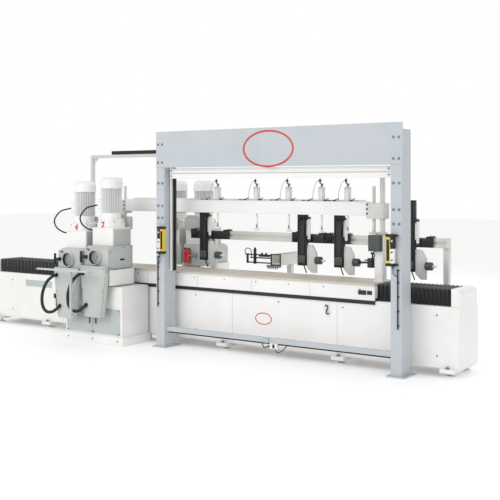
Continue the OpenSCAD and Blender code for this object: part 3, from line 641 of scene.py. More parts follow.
def buildHead(name, body, place, nodes):
    u = unit
    front, back, port, height = u["front"], u["back"], u["port"], u["portHeight"]
    # cast head with its sloping shoulder
    bm = bmesh.new()
    addPrism(bm, [(front, u["low"]), (back, u["low"]), (back, u["top"]),
                  (front + u["chamfer"], u["top"]), (front, height + port + 4)],
             -u["headHalf"], u["headHalf"], 0, 5, 0, place)
    # cover lip and a thin seam plate on both sides
    for side in (-1, 1):
        xs = sided(side, u["headHalf"], u["headHalf"] + 2)
        addPrism(bm, [(front + 18, u["low"] + 14), (back - 14, u["low"] + 14), (back - 14, u["top"] - 14),
                      (front + u["chamfer"] + 2, u["top"] - 14), (front + 18, height + port - 8)],
                 xs[0], xs[1], 0, 1, 0, place)
    # port collar: outer wall, rolled rim and the bore behind it
    inner = port - u["portWall"]
    addTurned(bm, (0, front + 2, height), (0, -1, 0),
              [(0, -12), (inner - 4, -12), (inner - 4, -14), (port - 1, -14), (port - 1, 2),
               (port - 1, u["portOut"] - 12), (port, u["portOut"] - 8), (port, u["portOut"] - 3),
               (port - 3, u["portOut"] + 1),
               (inner + 3, u["portOut"] + 1), (inner, u["portOut"] - 3), (inner, -4), (0, -4)], 56, 0, place)
    keepMesh(name + "Head", bm, hammerGray, body, nodes, 30)
    # shaded bore and the impeller guard deep in it
    bm = bmesh.new()
    addTurned(bm, (0, front + 2, height), (0, -1, 0),
              [(0, -3), (inner - 1, -3), (inner - 1, u["portOut"] - 10), (inner - 3, u["portOut"] - 10),
               (inner - 3, 0), (0, 0)], 48, 0, place)
    for r in (18, 38, 58):
        addTube(bm, [(math.cos(a) * r, front - 6, height + math.sin(a) * r)
                     for a in [k * math.pi / 12 for k in range(24)]] + [(r, front - 6, height)], 2, 6, 0, place)
    keepMesh(name + "Bore", bm, blackPlastic, body, (), 40)
    # white housing between head and motor, with its grey side doors
    bm = bmesh.new()
    h = u["boxHalf"]
    addBlock(bm, (-h, h), (-150, 165), (u["top"], u["mount"] - 16), 4, 0, place)
    addBlock(bm, (-h - 3, h + 3), (-153, 168), (u["mount"] - 16, u["mount"]), 3, 0, place)
    keepMesh(name + "Box", bm, whiteEnamel, body, (), 30)
    bm = bmesh.new()
    for side in (-1, 1):
        addBlock(bm, sided(side, h, h + 4), (-138, 158), (u["top"] + 4, u["mount"] - 22), 2, 0, place)
    # rear gearbox block with its junction box
    addBlock(bm, (-150, 150), (165, 214), (u["mount"] - 30, u["mount"] + 125), 4, 0, place)
    addBlock(bm, (-120, 20), (170, 212), (u["mount"] + 125, u["mount"] + 158), 4, 0, place)
    keepMesh(name + "Doors", bm, hammerGray, body, (), 30)
    # twin red damper cylinders with black caps
    bm = bmesh.new()
    for dx in (-150, -98):
        addTurned(bm, (dx, back + 26, 925), (0, 0, 1),
                  [(0, 0), (20, 0), (26, 6), (26, 82), (24, 86), (24, 92), (26, 96), (26, 168), (22, 174), (0, 174)],
                  28, 0, place)
        addTurned(bm, (dx, back + 26, 1099), (0, 0, 1), [(0, 0), (18, 0), (18, 8), (10, 14), (0, 14)], 20, 1, place)
    keepMesh(name + "Dampers", bm, [redEnamel, blackPlastic], body, (), 40)
    # clamp handle beside the port, grips and lifting slots
    bm = bmesh.new()
    y = front - 28
    addRod(bm, (-203, y, height), (-128, y, height), 12, 20, 2, 0, place)
    addTurned(bm, (-215, y, height - 68), (0, 0, 1),
              [(0, 0), (12, 0), (15, 4), (15, 52), (17, 56), (17, 80), (15, 84), (15, 132), (12, 136), (0, 136)],
              20, 0, place)
    addBlock(bm, (-160, -135), (front - 44, front + 1), (height - 20, height + 20), 4, 0, place)
    for side in (-1, 1):
        addBlock(bm, sided(side, u["headHalf"] + 2, u["headHalf"] + 7), (-58, 22), (988, 1008), 2, 0, place)
    # wing bolt above the port
    addRod(bm, (-112, front + 6, height + 92), (-112, front - 26, height + 92), 6, 12, 1, 0, place)
    addTube(bm, [(-140, front - 24, height + 104), (-112, front - 26, height + 92), (-88, front - 24, height + 82)],
            5, 8, 0, place)
    keepMesh(name + "Handle", bm, blackPlastic, body, (), 40)
    seams = [((side * (u["headHalf"] + 2), y, z), (side, 0, 0))
             for side in (-1, 1) for y, z in ((front + 20, 915), (front + 40, 1090))]
    seams += [((side * (u["headHalf"] + 2), y, z), (side, 0, 0))
              for side in (-1, 1) for y in (0, 150) for z in (915, 1140)]
    screwPiece(name + "HeadScrews", seams, 6, 5, body, place=place)


stationDigit = {"size": 112, "thick": 4, "turn": -84, "proud": 1.5, "rise": 34, "squash": 0.8}


def buildMotor(name, body, place, nodes, cowlNodes, digit):
    u = unit
    # adapter ring, bell flange and finned barrel
    bm = bmesh.new()
    addTurned(bm, (0, 0, 0), (0, 0, 1),
              [(0, u["mount"]), (u["ring"] - 2, u["mount"]), (u["ring"], u["mount"] + 2),
               (u["ring"], u["mount"] + 52),
               (u["ring"] - 4, u["mount"] + 55), (u["ring"] - 4, u["ringTop"] - 5), (u["ring"] - 8, u["ringTop"]),
               (u["flange"] + 12, u["ringTop"]), (u["flange"], u["ringTop"] + 14), (u["flange"], u["flangeTop"] - 4),
               (u["flange"] - 4, u["flangeTop"]), (0, u["flangeTop"])], 72, 0, place)
    # the shell between the fins is painted a darker gray: painted shade in the gaps between the fins
    addTurned(bm, (0, 0, 0), (0, 0, 1), [(0, u["flangeTop"] - 8), (u["motor"], u["flangeTop"] - 8),
                                         (u["motor"], u["motorTop"] - 4), (0, u["motorTop"] - 4)], 72, 1, place)
    # flange ears round the ring
    for k in range(4):
        a = math.radians(45 + 90 * k)
        x, y = math.cos(a) * u["ears"], math.sin(a) * u["ears"]
        addRod(bm, (x, y, u["ringTop"] - 2), (x, y, u["ringTop"] + 24), 20, 20, 3, 0, place)
    # terminal box on the left side with its lid
    addBlock(bm, (-166, -112), (-58, 58), (1592, 1706), 5, 0, place)
    addBlock(bm, (-174, -165), (-62, 62), (1588, 1710), 3, 0, place)
    keepMesh(name + "Barrel", bm, [whiteEnamel, panelGrayEnamel], body, nodes, 32)

    def fin(b):
        addBlock(b, (-7, 8), (-2.6, 2.6), (0, u["motorTop"] - u["flangeTop"] - 8), 1.2, 0)

    centre = place @ Vector((0, 0, (u["flangeTop"] + 4) * mm))
    ringPiece(name + "Fins", fin, u["fins"], (u["motor"] + 5), centre, whiteEnamel, body)
    # fan cowl: rolled lip, dome and a ring of air slots in its crown
    bm = bmesh.new()
    r, low, top = u["cowl"], u["motorTop"], u["cowlTop"]
    dome = [(r - 62 * (1 - math.cos(a)), top - 62 + 60 * math.sin(a))
            for a in [k * math.pi / 16 for k in range(8)]]
    addTurned(bm, (0, 0, 0), (0, 0, 1),
              [(0, low + 2), (u["fin"] - 4, low + 2), (r - 4, low), (r, low + 3), (r, low + 12), (r - 3, low + 15)]
              + [(p[0] - 3, p[1]) for p in dome] + [(r - 66, top), (r - 84, top), (r - 88, top - 4), (0, top - 4)],
              72, 0, place)
    keepMesh(name + "Cowl", bm, whiteEnamel, body, cowlNodes, 32)

    def slot(b):
        addBlock(b, (-19, 19), (-2.2, 2.2), (-2, 1.5), 0.8, 0)

    centre = place @ Vector((0, 0, (top - 3) * mm))
    ringPiece(name + "Grille", slot, 26, 32, centre, deepGray, body)

    def bolt(b):
        addRod(b, (-2, 0, 0), (7, 0, 0), 7, 6, 1)

    centre = place @ Vector((0, 0, (u["mount"] + 68) * mm))
    ringPiece(name + "RingBolts", bolt, 8, u["ring"] - 4, centre, zincSteel, body, 0.2)
    # cable gland on the terminal box and the plug below it
    bm = bmesh.new()
    addTurned(bm, (-172, -24, 1640), (-1, 0, 0),
              [(0, 0), (15, 0), (15, 6), (12, 8), (12, 16), (9.5, 20), (0, 20)], 12, 0, place)
    addTurned(bm, (-164, -30, 1335), (-1, 0, 0), [(0, 0), (14, 0), (14, 7), (11, 9), (11, 16), (0, 16)],
              12, 0, place)
    addBlock(bm, (-170, -163), (-48, -12), (1318, 1352), 2, 0, place)
    keepMesh(name + "Glands", bm, blackPlastic, body, (), 40)
    if digit:
        # one plain station number, bent round the ring
        text = bpy.data.curves.new(name + "Number", "FONT")
        text.body = digit
        text.size = stationDigit["size"] * mm
        text.extrude = stationDigit["thick"] * mm
        text.align_x, text.align_y = "CENTER", "CENTER"
        holder = bpy.data.objects.new(name + "Number", text)
        scene.collection.objects.link(holder)
        mesh = bpy.data.meshes.new_from_object(holder.evaluated_get(bpy.context.evaluated_depsgraph_get()))
        bpy.data.objects.remove(holder)
        aim = math.radians(stationDigit["turn"])
        for v in mesh.vertices:
            angle = aim + v.co.x / (u["ring"] * mm)
            depth = (u["ring"] + stationDigit["proud"]) * mm + v.co.z
            v.co = place @ Vector((math.cos(angle) * depth, math.sin(angle) * depth,
                                   (u["mount"] + stationDigit["rise"]) * mm + v.co.y * stationDigit["squash"]))
        bm = bmesh.new()
        bm.from_mesh(mesh)
        bmesh.ops.remove_doubles(bm, verts=bm.verts, dist=0.00005)
        keepMesh(name + "Number", bm, redEnamel, body, (), 30)


def buildSaddle(name, body, place, nodes):
    u = unit
    bm = bmesh.new()
    addBlock(bm, u["saddle"], (u["saddleFront"], u["saddleBack"]), (701, 799), 4, 0, place)
    for side in (-1, 1):
        addBlock(bm, sided(side, 205, 215), (-255, 165), (702, 885), 2, 0, place)
        addBlock(bm, sided(side, 215, 218), (-240, 150), (716, 872), 1, 0, place)
    keepMesh(name + "Saddle", bm, whiteEnamel, body, nodes, 30)
    bm = bmesh.new()
    for x in (-130, 130):
        addRod(bm, (x, -60, 795), (x, -60, 1050), 19, 24, 2, 0, place)
        addRod(bm, (x, -60, 798), (x, -60, 806), 30, 24, 2, 0, place)
    keepMesh(name + "Guides", bm, groundSteel, body, (), 40)


def buildLowerCover(name, body, place, nodes):
    front = unit["front"]
    outline = [(-130, 330), (130, 330), (200, 860), (200, 931), (-200, 931), (-200, 860)]
    bm = bmesh.new()
    addPrism(bm, outline, front - 60, front - 1, 1, 6, 0, place)
    # pressed inner panel and a bevelled return along the right edge
    addPrism(bm, [(-112, 350), (112, 350), (176, 852), (176, 908), (-176, 908), (-176, 852)],
             front - 63, front - 59, 1, 1.2, 0, place)
    addPrism(bm, [(130, 332), (152, 346), (218, 862), (200, 862)], front - 44, front - 4, 1, 2, 0, place)
    keepMesh(name + "LowerCover", bm, hammerGray, body, nodes, 30)
    bm = bmesh.new()
    for x, y, z in (cordLine["hose"][0], cordLine["hose"][-1]):
        deep = front - 58 - y
        addTurned(bm, (x, front - 58, z), (0, -1, 0), [(0, 0), (26, 0), (26, 5), (23, 7), (23, deep), (0, deep)],
                  24, 0, place)
    keepMesh(name + "HoseGlands", bm, blackPlastic, body, (), 40)
    spots = [((x, front - 60, z), (0, -1, 0))
             for z, half in ((900, 178), (380, 118), (640, 160)) for x in (-half, half)]
    screwPiece(name + "CoverScrews", spots, 6, 5, body, place=place)


for tag, place in places.items():
    body = "unit_" + tag
    buildHead("unit" + tag, body, place, ("head_" + tag,))
    buildMotor("unit" + tag, body, place, ("motor_" + tag,), ("cowl_" + tag,), tag)
    level = Matrix.Translation((place.translation.x, place.translation.y, 0))
    buildSaddle("unit" + tag, "cross_slide_" + tag, level, ("saddle_" + tag,))
    buildLowerCover("unit" + tag, body, place, ("lower_cover_" + tag,))
print("stage: front units")


# rear working units, mirrored across the bed

rearBase = span("rear_motors")
rearY = round((rearBase[1][0] + rearBase[1][1]) / 2)
rearDrop = rearBase[2][1] - unit["cowlTop"]
for tag in ("1", "3"):
    x = sum(span("spindle_" + tag)[0]) / 2
    place = Matrix.Translation(Vector((x, rearY, rearDrop)) * mm) @ Matrix.Diagonal((1, -1, 1, 1))
    level = Matrix.Translation(Vector((x, rearY, 0)) * mm) @ Matrix.Diagonal((1, -1, 1, 1))
    buildHead("rear" + tag, "rear_units", place, ("rear_heads",) if tag == "1" else ())
    buildMotor("rear" + tag, "rear_units", place, ("rear_motors",) if tag == "1" else (), (), "")
    buildSaddle("rear" + tag, "rear_cross_slide", level, ("rear_saddle",) if tag == "1" else ())
print("stage: rear units")


# table, end plates and the plain oval mark

table = {"strip": 39.5, "seamEvery": 760, "ovalPlace": (1100, 400), "ovalSize": (105, 62)}
tx, ty, tz = span("table_panels")
topSpan = span("table_top_plate")


def buildTablePanels():
    bm = bmesh.new()
    left, right = tx
    for side in (-1, 1):
        ys = (ty[0], ty[0] + 11) if side < 0 else (ty[1] - 11, ty[1])
        addBlock(bm, (left, right), ys, (tz[0] + table["strip"] + 1, tz[1] - 12), 2, 0)
        # folded upper lip and the dark strip below
        lip = (ys[0] - 3, ys[1]) if side < 0 else (ys[0], ys[1] + 3)
        addBlock(bm, (left, right), lip, (tz[1] - 11, tz[1] - 1), 1.5, 0)
        addBlock(bm, (left, right), (ys[0] + 3, ys[1] - 2) if side < 0 else (ys[0] + 2, ys[1] - 3),
                 (tz[0], tz[0] + table["strip"]), 1, 1)
        for x in range(int(left) + table["seamEvery"], int(right) - 100, table["seamEvery"]):
            addBlock(bm, (x - 0.6, x + 0.6), (ys[0] - 1, ys[1] + 1), (tz[0] + 42, tz[1] - 12), 0, 1)
    for x in (left, right - 11):
        addBlock(bm, (x, x + 11), (ty[0] + 12, ty[1] - 12), (tz[0] + 66, tz[1] - 1), 2, 0)
    # low service boxes on the panel at its right end
    addBlock(bm, (right - 190, right - 96), (ty[0] - 4, ty[0] + 4), (tz[1] - 96, tz[1] - 48), 2, 1)
    addBlock(bm, (right - 88, right - 30), (ty[0] - 4, ty[0] + 4), (tz[1] - 92, tz[1] - 50), 2, 1)
    keepMesh("tablePanels", bm, [whiteEnamel, blackSteel], "table", ("table_panels",), 30)
    spots = []
    for k in range(9):
        x = left + 170 + k * (right - left - 340) / 8
        spots += [((x, ty[0], tz[1] - 40), (0, -1, 0)), ((x, ty[1], tz[1] - 40), (0, 1, 0))]
    screwPiece("tableScrews", spots, 6, 4, "table")


def ovalRing(name, centre, size, thick, faceY):
    # one closed flat band, proud of the sheet by 2 mm
    bm = bmesh.new()
    steps = 96
    rings = []
    for k in range(steps):
        a = 2 * math.pi * k / steps
        ring = []
        for grow, y in ((-thick, 1), (-thick, -2), (thick, -2), (thick, 1)):
            ring.append(bm.verts.new((Vector((centre[0] + (size[0] + grow) * math.cos(a), faceY + y,
                                              centre[1] + (size[1] + grow) * math.sin(a)))) * mm))
        rings.append(ring)
    for k in range(steps):
        here, after = rings[k], rings[(k + 1) % steps]
        for i in range(4):
            bm.faces.new((here[i], after[i], after[(i + 1) % 4], here[(i + 1) % 4]))
    keepMesh(name, bm, redEnamel, "frame", (), 60)


buildTablePanels()
bedFront = span("bed_body")[1][0]
ovalRing("bedMark", table["ovalPlace"], table["ovalSize"], 5, bedFront)


# bed trim: joint lines, a cover plate, bottom flanges, bolts and foot jacks

footX = (-3270, -2300, -400, 560, 2060, 3270)


def buildBedTrim():
    x, y, z = span("bed_body")
    bm = bmesh.new()
    for k in range(1, 5):
        at = x[0] + k * (x[1] - x[0]) / 5
        for side in (-1, 1):
            addBlock(bm, (at - 0.5, at + 0.5), sided(side, y[1], y[1] + 1.2), (z[0] + 8, 686), 0, 1)
    addBlock(bm, (-2741, -2243), (y[0] - 4, y[0]), (528, 612), 1.5, 0)
    # rolled bottom flange along both sides
    for side in (-1, 1):
        addBlock(bm, (x[0] + 4, x[1] - 4), sided(side, y[1], y[1] + 7), (z[0], z[0] + 12), 2, 2)
    keepMesh("bedTrim", bm, [panelGrayEnamel, deepGray, whiteEnamel], "frame", (), 30)
    footTop = span("bed_feet")[2][1]
    spots = [((px, side * 269, footTop), (0, 0, 1)) for px in footX for side in (-1, 1)]
    screwPiece("footBolts", spots, 15, 22, "frame")
    bm = bmesh.new()
    for px in footX:
        for side in (-1, 1):
            addTurned(bm, (px, side * 201, 15), (0, 0, 1),
                      [(0, 0), (22, 0), (22, 8), (14, 10), (14, 30), (24, 31), (24, 35), (0, 35)], 20, 0)
    keepMesh("footJacks", bm, zincSteel, "frame", (), 30)
    spots = [((px, side * (y[1] + 0.5), h), (0, side, 0)) for px in (-3000, -1850, 150, 1300, 2100, 3150)
             for side in (-1, 1) for h in (200, 600)]
    screwPiece("bedBolts", spots, 7, 5, "frame")


buildBedTrim()
print("stage: table and bed")


# bridge over the table: posts, guide columns, beam, clamps

bridge = {"column": 27.5, "thin": 17.5, "tubeRadius": 4, "barrel": 27}
colX = {"right": (2440, 2340), "left": (-1270, -1170)}
beam = span("bridge_beam")
posts = span("bridge_columns")


def buildColumns():
    low, cap = posts[2]
    bm = bmesh.new()
    for side, (main, second) in colX.items():
        edge = topSpan[0][1] if side == "right" else topSpan[0][0]
        outer = (edge - 112, edge - 14) if side == "right" else (edge + 14, edge + 112)
        addBlock(bm, outer, (-49, 49), (low, 1364), 6, 0)
        addBlock(bm, (outer[0] - 10, outer[1] + 10), (-58, 58), (low, low + 14), 2, 0)
        addBlock(bm, (outer[0] + 14, outer[1] - 14), (-52, -48), (low + 60, 1320), 1.5, 0)
        wide = (min(main, second) - 38, max(main, second) + 36)
        addBlock(bm, wide, (-49, 49), (1366, 1385), 2, 1)
        addRod(bm, (main, 0, 1385), (main, 0, cap - 14), bridge["column"], 40, 1, 2)
        addRod(bm, (second, 0, 1385), (second, 0, 1860), bridge["thin"], 32, 1, 2)
        addRod(bm, (main, 0, cap - 14), (main, 0, cap), 35, 36, 3, 0)
        addRod(bm, (second, 0, 1860), (second, 0, 1868), 22, 24, 2, 0)
    keepMesh("bridgeColumns", bm, [whiteEnamel, lightGrayEnamel, anodised], "table",
             ("bridge_columns",), 30)


def buildBeam():
    x, z = beam[0], beam[2]
    left, right = -1115, 2280
    bm = bmesh.new()
    addBlock(bm, (left, right), (-60, 60), (1555, 1703), 7, 0)
    # thin top tray and the air rail along its rear edge
    addBlock(bm, (left + 20, right - 20), (-52, 52), (1702, 1706), 1, 1)
    addBlock(bm, (left + 60, right - 60), (30, 50), (1706, 1722), 2, 1)
    for xs in ((right, x[1]), (x[0], left)):
        addBlock(bm, xs, (-70, 70), (z[0], z[1] - 10), 5, 2)
    for columns in colX.values():
        for at, radius in ((columns[0], 38), (columns[1], 27)):
            inner = radius - 9
            addTurned(bm, (at, 0, z[0] - 3), (0, 0, 1),
                      [(inner, 0), (radius, 0), (radius, 4), (inner, 4), (inner, 0)], 32, 3)
    keepMesh("bridgeBeam", bm, [whiteEnamel, whitePlastic, lightGrayEnamel, blackPlastic], "bridge",
             ("bridge_beam",), 30)
    spots = []
    for xs in (right + 14, left - 14):
        for zz in (1580, 1628, 1676):
            spots += [((xs, -70, zz), (0, -1, 0)), ((xs, 70, zz), (0, 1, 0))]
    screwPiece("beamBolts", spots, 8, 7, "bridge", blackSteel)


clampX = [291, 847, 1280, 1705, 2027]


def buildClamps():
    low = 1703
    high = span("clamp_cylinders")[2][1]
    bm = bmesh.new()
    for x in clampX:
        r = bridge["barrel"]
        # square barrel with its two end caps and four tie rods
        addBlock(bm, (x - r + 2, x + r - 2), (-r + 2, r - 2), (low + 18, low + 138), 6, 0)
        for z in ((low, low + 19), (low + 137, low + 155)):
            addBlock(bm, (x - r - 1, x + r + 1), (-r - 1, r + 1), z, 2, 1)
        for dx in (-1, 1):
            for dy in (-1, 1):
                px, py = x + dx * (r - 3), dy * (r - 3)
                addRod(bm, (px, py, low + 10), (px, py, low + 160), 3.5, 10, 1, 1)
        addTurned(bm, (x, 0, low + 155), (0, 0, 1),
                  [(0, 0), (9, 0), (9, 10), (13, 12), (13, 24), (8, 26), (8, 34), (0, 34)], 16, 2)
        # zinc elbow, flow knob and its lever
        addRod(bm, (x, 0, low + 186), (x - 30, 0, low + 206), 7, 12, 1, 2)
        addTurned(bm, (x - 4, 0, low + 188), (-0.5, 0, 1), [(0, 0), (6, 0), (6, 24), (0, 24)], 12, 2)
        addTurned(bm, (x - 17, 0, low + 214), (-0.3, 0, 1),
                  [(0, 0), (10, 0), (14, 5), (14, 17), (10, 24), (0, 24)], 16, 3)
        addRod(bm, (x + 14, 0, low + 170), (x + 14, 0, low + 196), 6, 12, 1, 2)
        addBlock(bm, (x + 30, x + 52), (-20, 20), (low - 1, low + 14), 2, 3)
        addTube(bm, [(x + 41, -8, low + 10), (x + 62, -8, low + 22), (x + 92, -8, low + 34)], 4.5, 8, 3)
        addBlock(bm, (x - 178, x - 150), (-20, 8), (low, low + 16), 3, 3)
        addTube(bm, [(x - 160, -6, low + 12), (x - 140, -6, low + 22), (x - 112, -6, low + 30)], 4.5, 8, 3)
        addBlock(bm, (x - 250, x - 214), (-14, 10), (low, low + 13), 3, 3)
    finishes = [whitePlastic, lightGrayEnamel, zincSteel, blackPlastic]
    keepMesh("clampBarrels", bm, finishes, "bridge",
             ("clamp_cylinders",), 30)
    bm = bmesh.new()
    for x in clampX:
        arch = [(x - 118, 8, low + 10), (x - 116, 6, low + 60), (x - 104, 4, low + 130), (x - 72, 2, low + 200),
                (x - 20, 0, low + 246), (x + 40, 0, high - 8), (x + 96, 0, high - 22)]
        addTube(bm, smoothPath(arch, 5), bridge["tubeRadius"], 10, 0)
        line = [(x - 17, 0, low + 236), (x - 8, 0, low + 262), (x + 30, 0, low + 268), (x + 110, 0, low + 258)]
        addTube(bm, smoothPath(line, 5),
                bridge["tubeRadius"], 10, 0)
    keepMesh("airLines", bm, airLine, "bridge", (), 60)
    bm = bmesh.new()
    for x in clampX:
        # rod in its white sleeve, lock nut and rubber foot
        addRod(bm, (x, 0, 1392), (x, 0, 1560), 8, 16, 1, 0)
        addTurned(bm, (x, 0, 1436), (0, 0, 1), [(0, 0), (12, 0), (12, 84), (15, 87), (15, 106), (0, 106)], 24, 1)
        addTurned(bm, (x, 0, 1396), (0, 0, 1), [(0, 0), (14, 0), (14, 12), (9, 15), (9, 40), (0, 40)], 6, 2)
        addTurned(bm, (x, 0, 1363), (0, 0, 1),
                  [(0, 0), (28, 0), (31, 4), (31, 10), (16, 20), (12, 34), (0, 34)], 32, 1)
    keepMesh("clampRods", bm, [groundSteel, whitePlastic, zincSteel], "clamps", ("clamp_rods",), 30)


buildColumns()
buildBeam()
buildClamps()


def buildEndStop():
    bm = bmesh.new()
    x = topSpan[0][1] - 112
    addBlock(bm, (x - 88, x), (-40, 40), (1010, 1110), 4, 0)
    addBlock(bm, (x - 70, x - 18), (-54, -38), (1022, 1098), 3, 0)
    addRod(bm, (x - 190, 0, 1060), (x - 88, 0, 1060), 11, 20, 1, 0)
    addTurned(bm, (x - 190, 0, 1060), (-1, 0, 0), [(0, 0), (20, 0), (26, 5), (26, 19), (22, 25), (0, 25)], 24, 0)
    addRod(bm, (x - 45, 0, 1108), (x - 45, 0, 1150), 9, 16, 1, 0)
    addTurned(bm, (x - 45, 0, 1150), (0, 0, 1), [(0, 0), (18, 0), (22, 4), (22, 18), (16, 22), (0, 22)], 20, 0)
    addRod(bm, (x - 128, -20, 1086), (x - 20, -20, 1086), 7, 14, 1, 0)
    for z in (1030, 1090):
        addRod(bm, (x - 26, -56, z), (x - 26, -84, z), 13, 16, 2, 0)
    line = [(x - 20, -46, 1100), (x + 4, -56, 1140), (x - 8, -58, 1176), (x + 30, -60, 1192)]
    addTube(bm, smoothPath(line, 5), 4, 8, 0)
    # terminal cabinet on the post
    addBlock(bm, (x - 40, x + 98), (-114, -50), (1190, 1360), 4, 1)
    addBlock(bm, (x - 36, x + 94), (-117, -113), (1195, 1355), 1.5, 1)
    keepMesh("endStop", bm, [blackSteel, deepGray], "table", ("end_stop",), 30)


buildEndStop()
print("stage: bridge")


# station housings in front of and behind the bed, on their plinths

def buildStation(name, x, y, z, facing, replaced):
    # facing is the side, -1 or 1, that carries the doors
    bm = bmesh.new()
    addBlock(bm, x, y, (102, z), 6, 0)
    out = (15, 10) if facing < 0 else (10, 15)
    addBlock(bm, (x[0] - 25, x[1] + 25), (y[0] - out[0], y[1] + out[1]), (1, 100), 4, 0)
    addBlock(bm, (x[0] - 8, x[1] + 8), (y[0] - 5, y[1] + 5), (100, 108), 2, 0)
    door = (y[0] - 6, y[0] + 1) if facing < 0 else (y[1] - 1, y[1] + 6)
    addBlock(bm, (x[0] + 30, x[1] - 30), door, (118, 420), 3, 1)
    middle = (x[0] + x[1]) / 2
    addBlock(bm, (middle - 2, middle + 2), (door[0] - 0.6, door[1] + 0.6), (120, 418), 0, 2)
    addBlock(bm, (x[0] + 30, x[1] - 30), door, (446, z - 30), 3, 0)
    for hx in (middle - 60, middle + 40):
        addBlock(bm, (hx, hx + 20), (door[0] - 9, door[1] + 9), (232, 300), 3, 2)
    # top plate that the cross ways lie on
    addBlock(bm, (x[0] + 6, x[1] - 6), (y[0] + 6, y[1] - 6), (z, z + 8), 2, 0)
    keepMesh(name, bm, [whiteEnamel, panelGrayEnamel, deepGray], "frame", replaced, 30)
    spots = [((sx, y[0] - out[0] if facing < 0 else y[1] + out[1], 50), (0, facing, 0))
             for sx in (x[0] + 60, middle, x[1] - 60)]
    spots += [((sx, door[0] if facing < 0 else door[1], h), (0, facing, 0))
              for sx in (x[0] + 46, middle - 16, middle + 16, x[1] - 46) for h in (134, 404)]
    screwPiece(name + "Bolts", spots, 8, 6, "frame")


buildStation("frontStation", (-1471, -547), (-740, -275), 672, -1, ("station_bases",))
buildStation("rearStation", (-1132, -208), (386, 874), 672, 1, ())
print("stage: stations")


# portal trim: bolt rows, guide strips and the oval mark

portal = {"left": (-215, -95), "right": (2785, 2905), "markSize": (315, 190)}


def buildPortalTrim():
    spots = []
    for x in (portal["left"][0] + 30, portal["left"][1] - 30, portal["right"][0] + 30, portal["right"][1] - 30):
        spots += [((x, -517, z), (0, -1, 0)) for z in (1500, 1640, 1900)]
        spots += [((x, -522, z), (0, -1, 0)) for z in (2140, 2350)]
    screwPiece("portalBolts", spots, 11, 8, "frame", zincSteel, None, ("portal_bolts",))
    bm = bmesh.new()
    for x in ((-95, -70), (2760, 2785)):
        addBlock(bm, x, (-433, -403), (882, 2082), 4, 0)
        addBlock(bm, x, (-358, -323), (882, 2082), 3, 1)
        middle = (x[0] + x[1]) / 2
        addBlock(bm, (middle - 4, middle + 4), (-434.5, -402), (900, 2070), 1, 1)
    keepMesh("guardGuides", bm, [whitePlastic, blackPlastic], "frame", ("guard_guides",), 30)


def buildBarrier(name, corner, side, replaced):
    # side is 1 on the left post and -1 on the right, so both face the opening
    def along(a, b):
        return tuple(sorted((corner + side * a, corner + side * b)))

    bm = bmesh.new()
    for z in ((1088, 1114), (1375, 1401)):
        addBlock(bm, along(-62, 30), (-576, -517), z, 3, 1)
        addBlock(bm, along(-84, -60), (-560, -517), (z[0] + 4, z[1] - 4), 2, 1)
    addBlock(bm, along(-60, -22), (-574, -528), (1117, 1259), 3, 0)
    addBlock(bm, along(-60, -22), (-574, -528), (1262, 1372), 3, 1)
    addBlock(bm, along(-21, 28), (-573, -528), (1117, 1372), 5, 2)
    addBlock(bm, along(-12, 19), (-575, -571), (1140, 1350), 2, 1)
    for z in (1150, 1225, 1335):
        addTurned(bm, (corner - side * 41, -574, z), (0, -1, 0), [(0, 0), (9, 0), (9, 3), (6, 5), (0, 5)],
                  16, 1 if z < 1300 else 0)
    addTurned(bm, (corner - side * 41, -550, 1088), (0, 0, -1),
              [(0, 0), (9, 0), (9, 14), (5, 18), (5, 40), (0, 40)], 14, 1)
    addTube(bm, smoothPath([(corner - side * 41, -550, 1052), (corner - side * 43, -545, 1010),
                            (corner - side * 70, -530, 990), (corner - side * 84, -522, 960)], 5), 4, 8, 1)
    keepMesh(name, bm, [whitePlastic, blackPlastic, yellowEnamel], "frame", replaced, 30)


def buildGuardBar():
    bm = bmesh.new()
    left, right, low, top = -65, 2755, 1955, 2073
    outline = [(-453, low), (-453, top), (-395, top), (-395, top - 12), (-441, top - 12), (-441, low + 12),
               (-395, low + 12),
               (-395, low)]
    addPrism(bm, outline, left, right, 0, 2, 0)
    addBlock(bm, (left + 12, right - 12), (-454.5, -450), (2008, 2018), 0.5, 2)
    for x in (left, right - 26):
        addBlock(bm, (x, x + 26), (-447, -361), (low + 14, top - 14), 4, 1)
        addBlock(bm, (x + 6, x + 20), (-366, -352), (low + 30, top - 30), 2, 1)
    for x in range(200, 2700, 500):
        addBlock(bm, (x - 5, x + 5), (-441, -397), (low + 12, top - 12), 1, 0)
    keepMesh("guardBar", bm, [whiteEnamel, blackPlastic, panelGrayEnamel], "guard", ("guard_bar",), 30)
    spots = [((x, -453, z), (0, -1, 0)) for x in (left + 22, right - 22) for z in (low + 28, top - 28)]
    screwPiece("guardBolts", spots, 8, 5, "guard")


buildPortalTrim()
buildBarrier("leftBarrier", -95, 1, ("light_barriers",))
buildBarrier("rightBarrier", 2785, -1, ())
buildGuardBar()
ovalRing("headerMark", (1345, 2270), portal["markSize"], 10, -522)
print("stage: portal")


# black end frame, adjusting rods and valve block on the near end of the trough

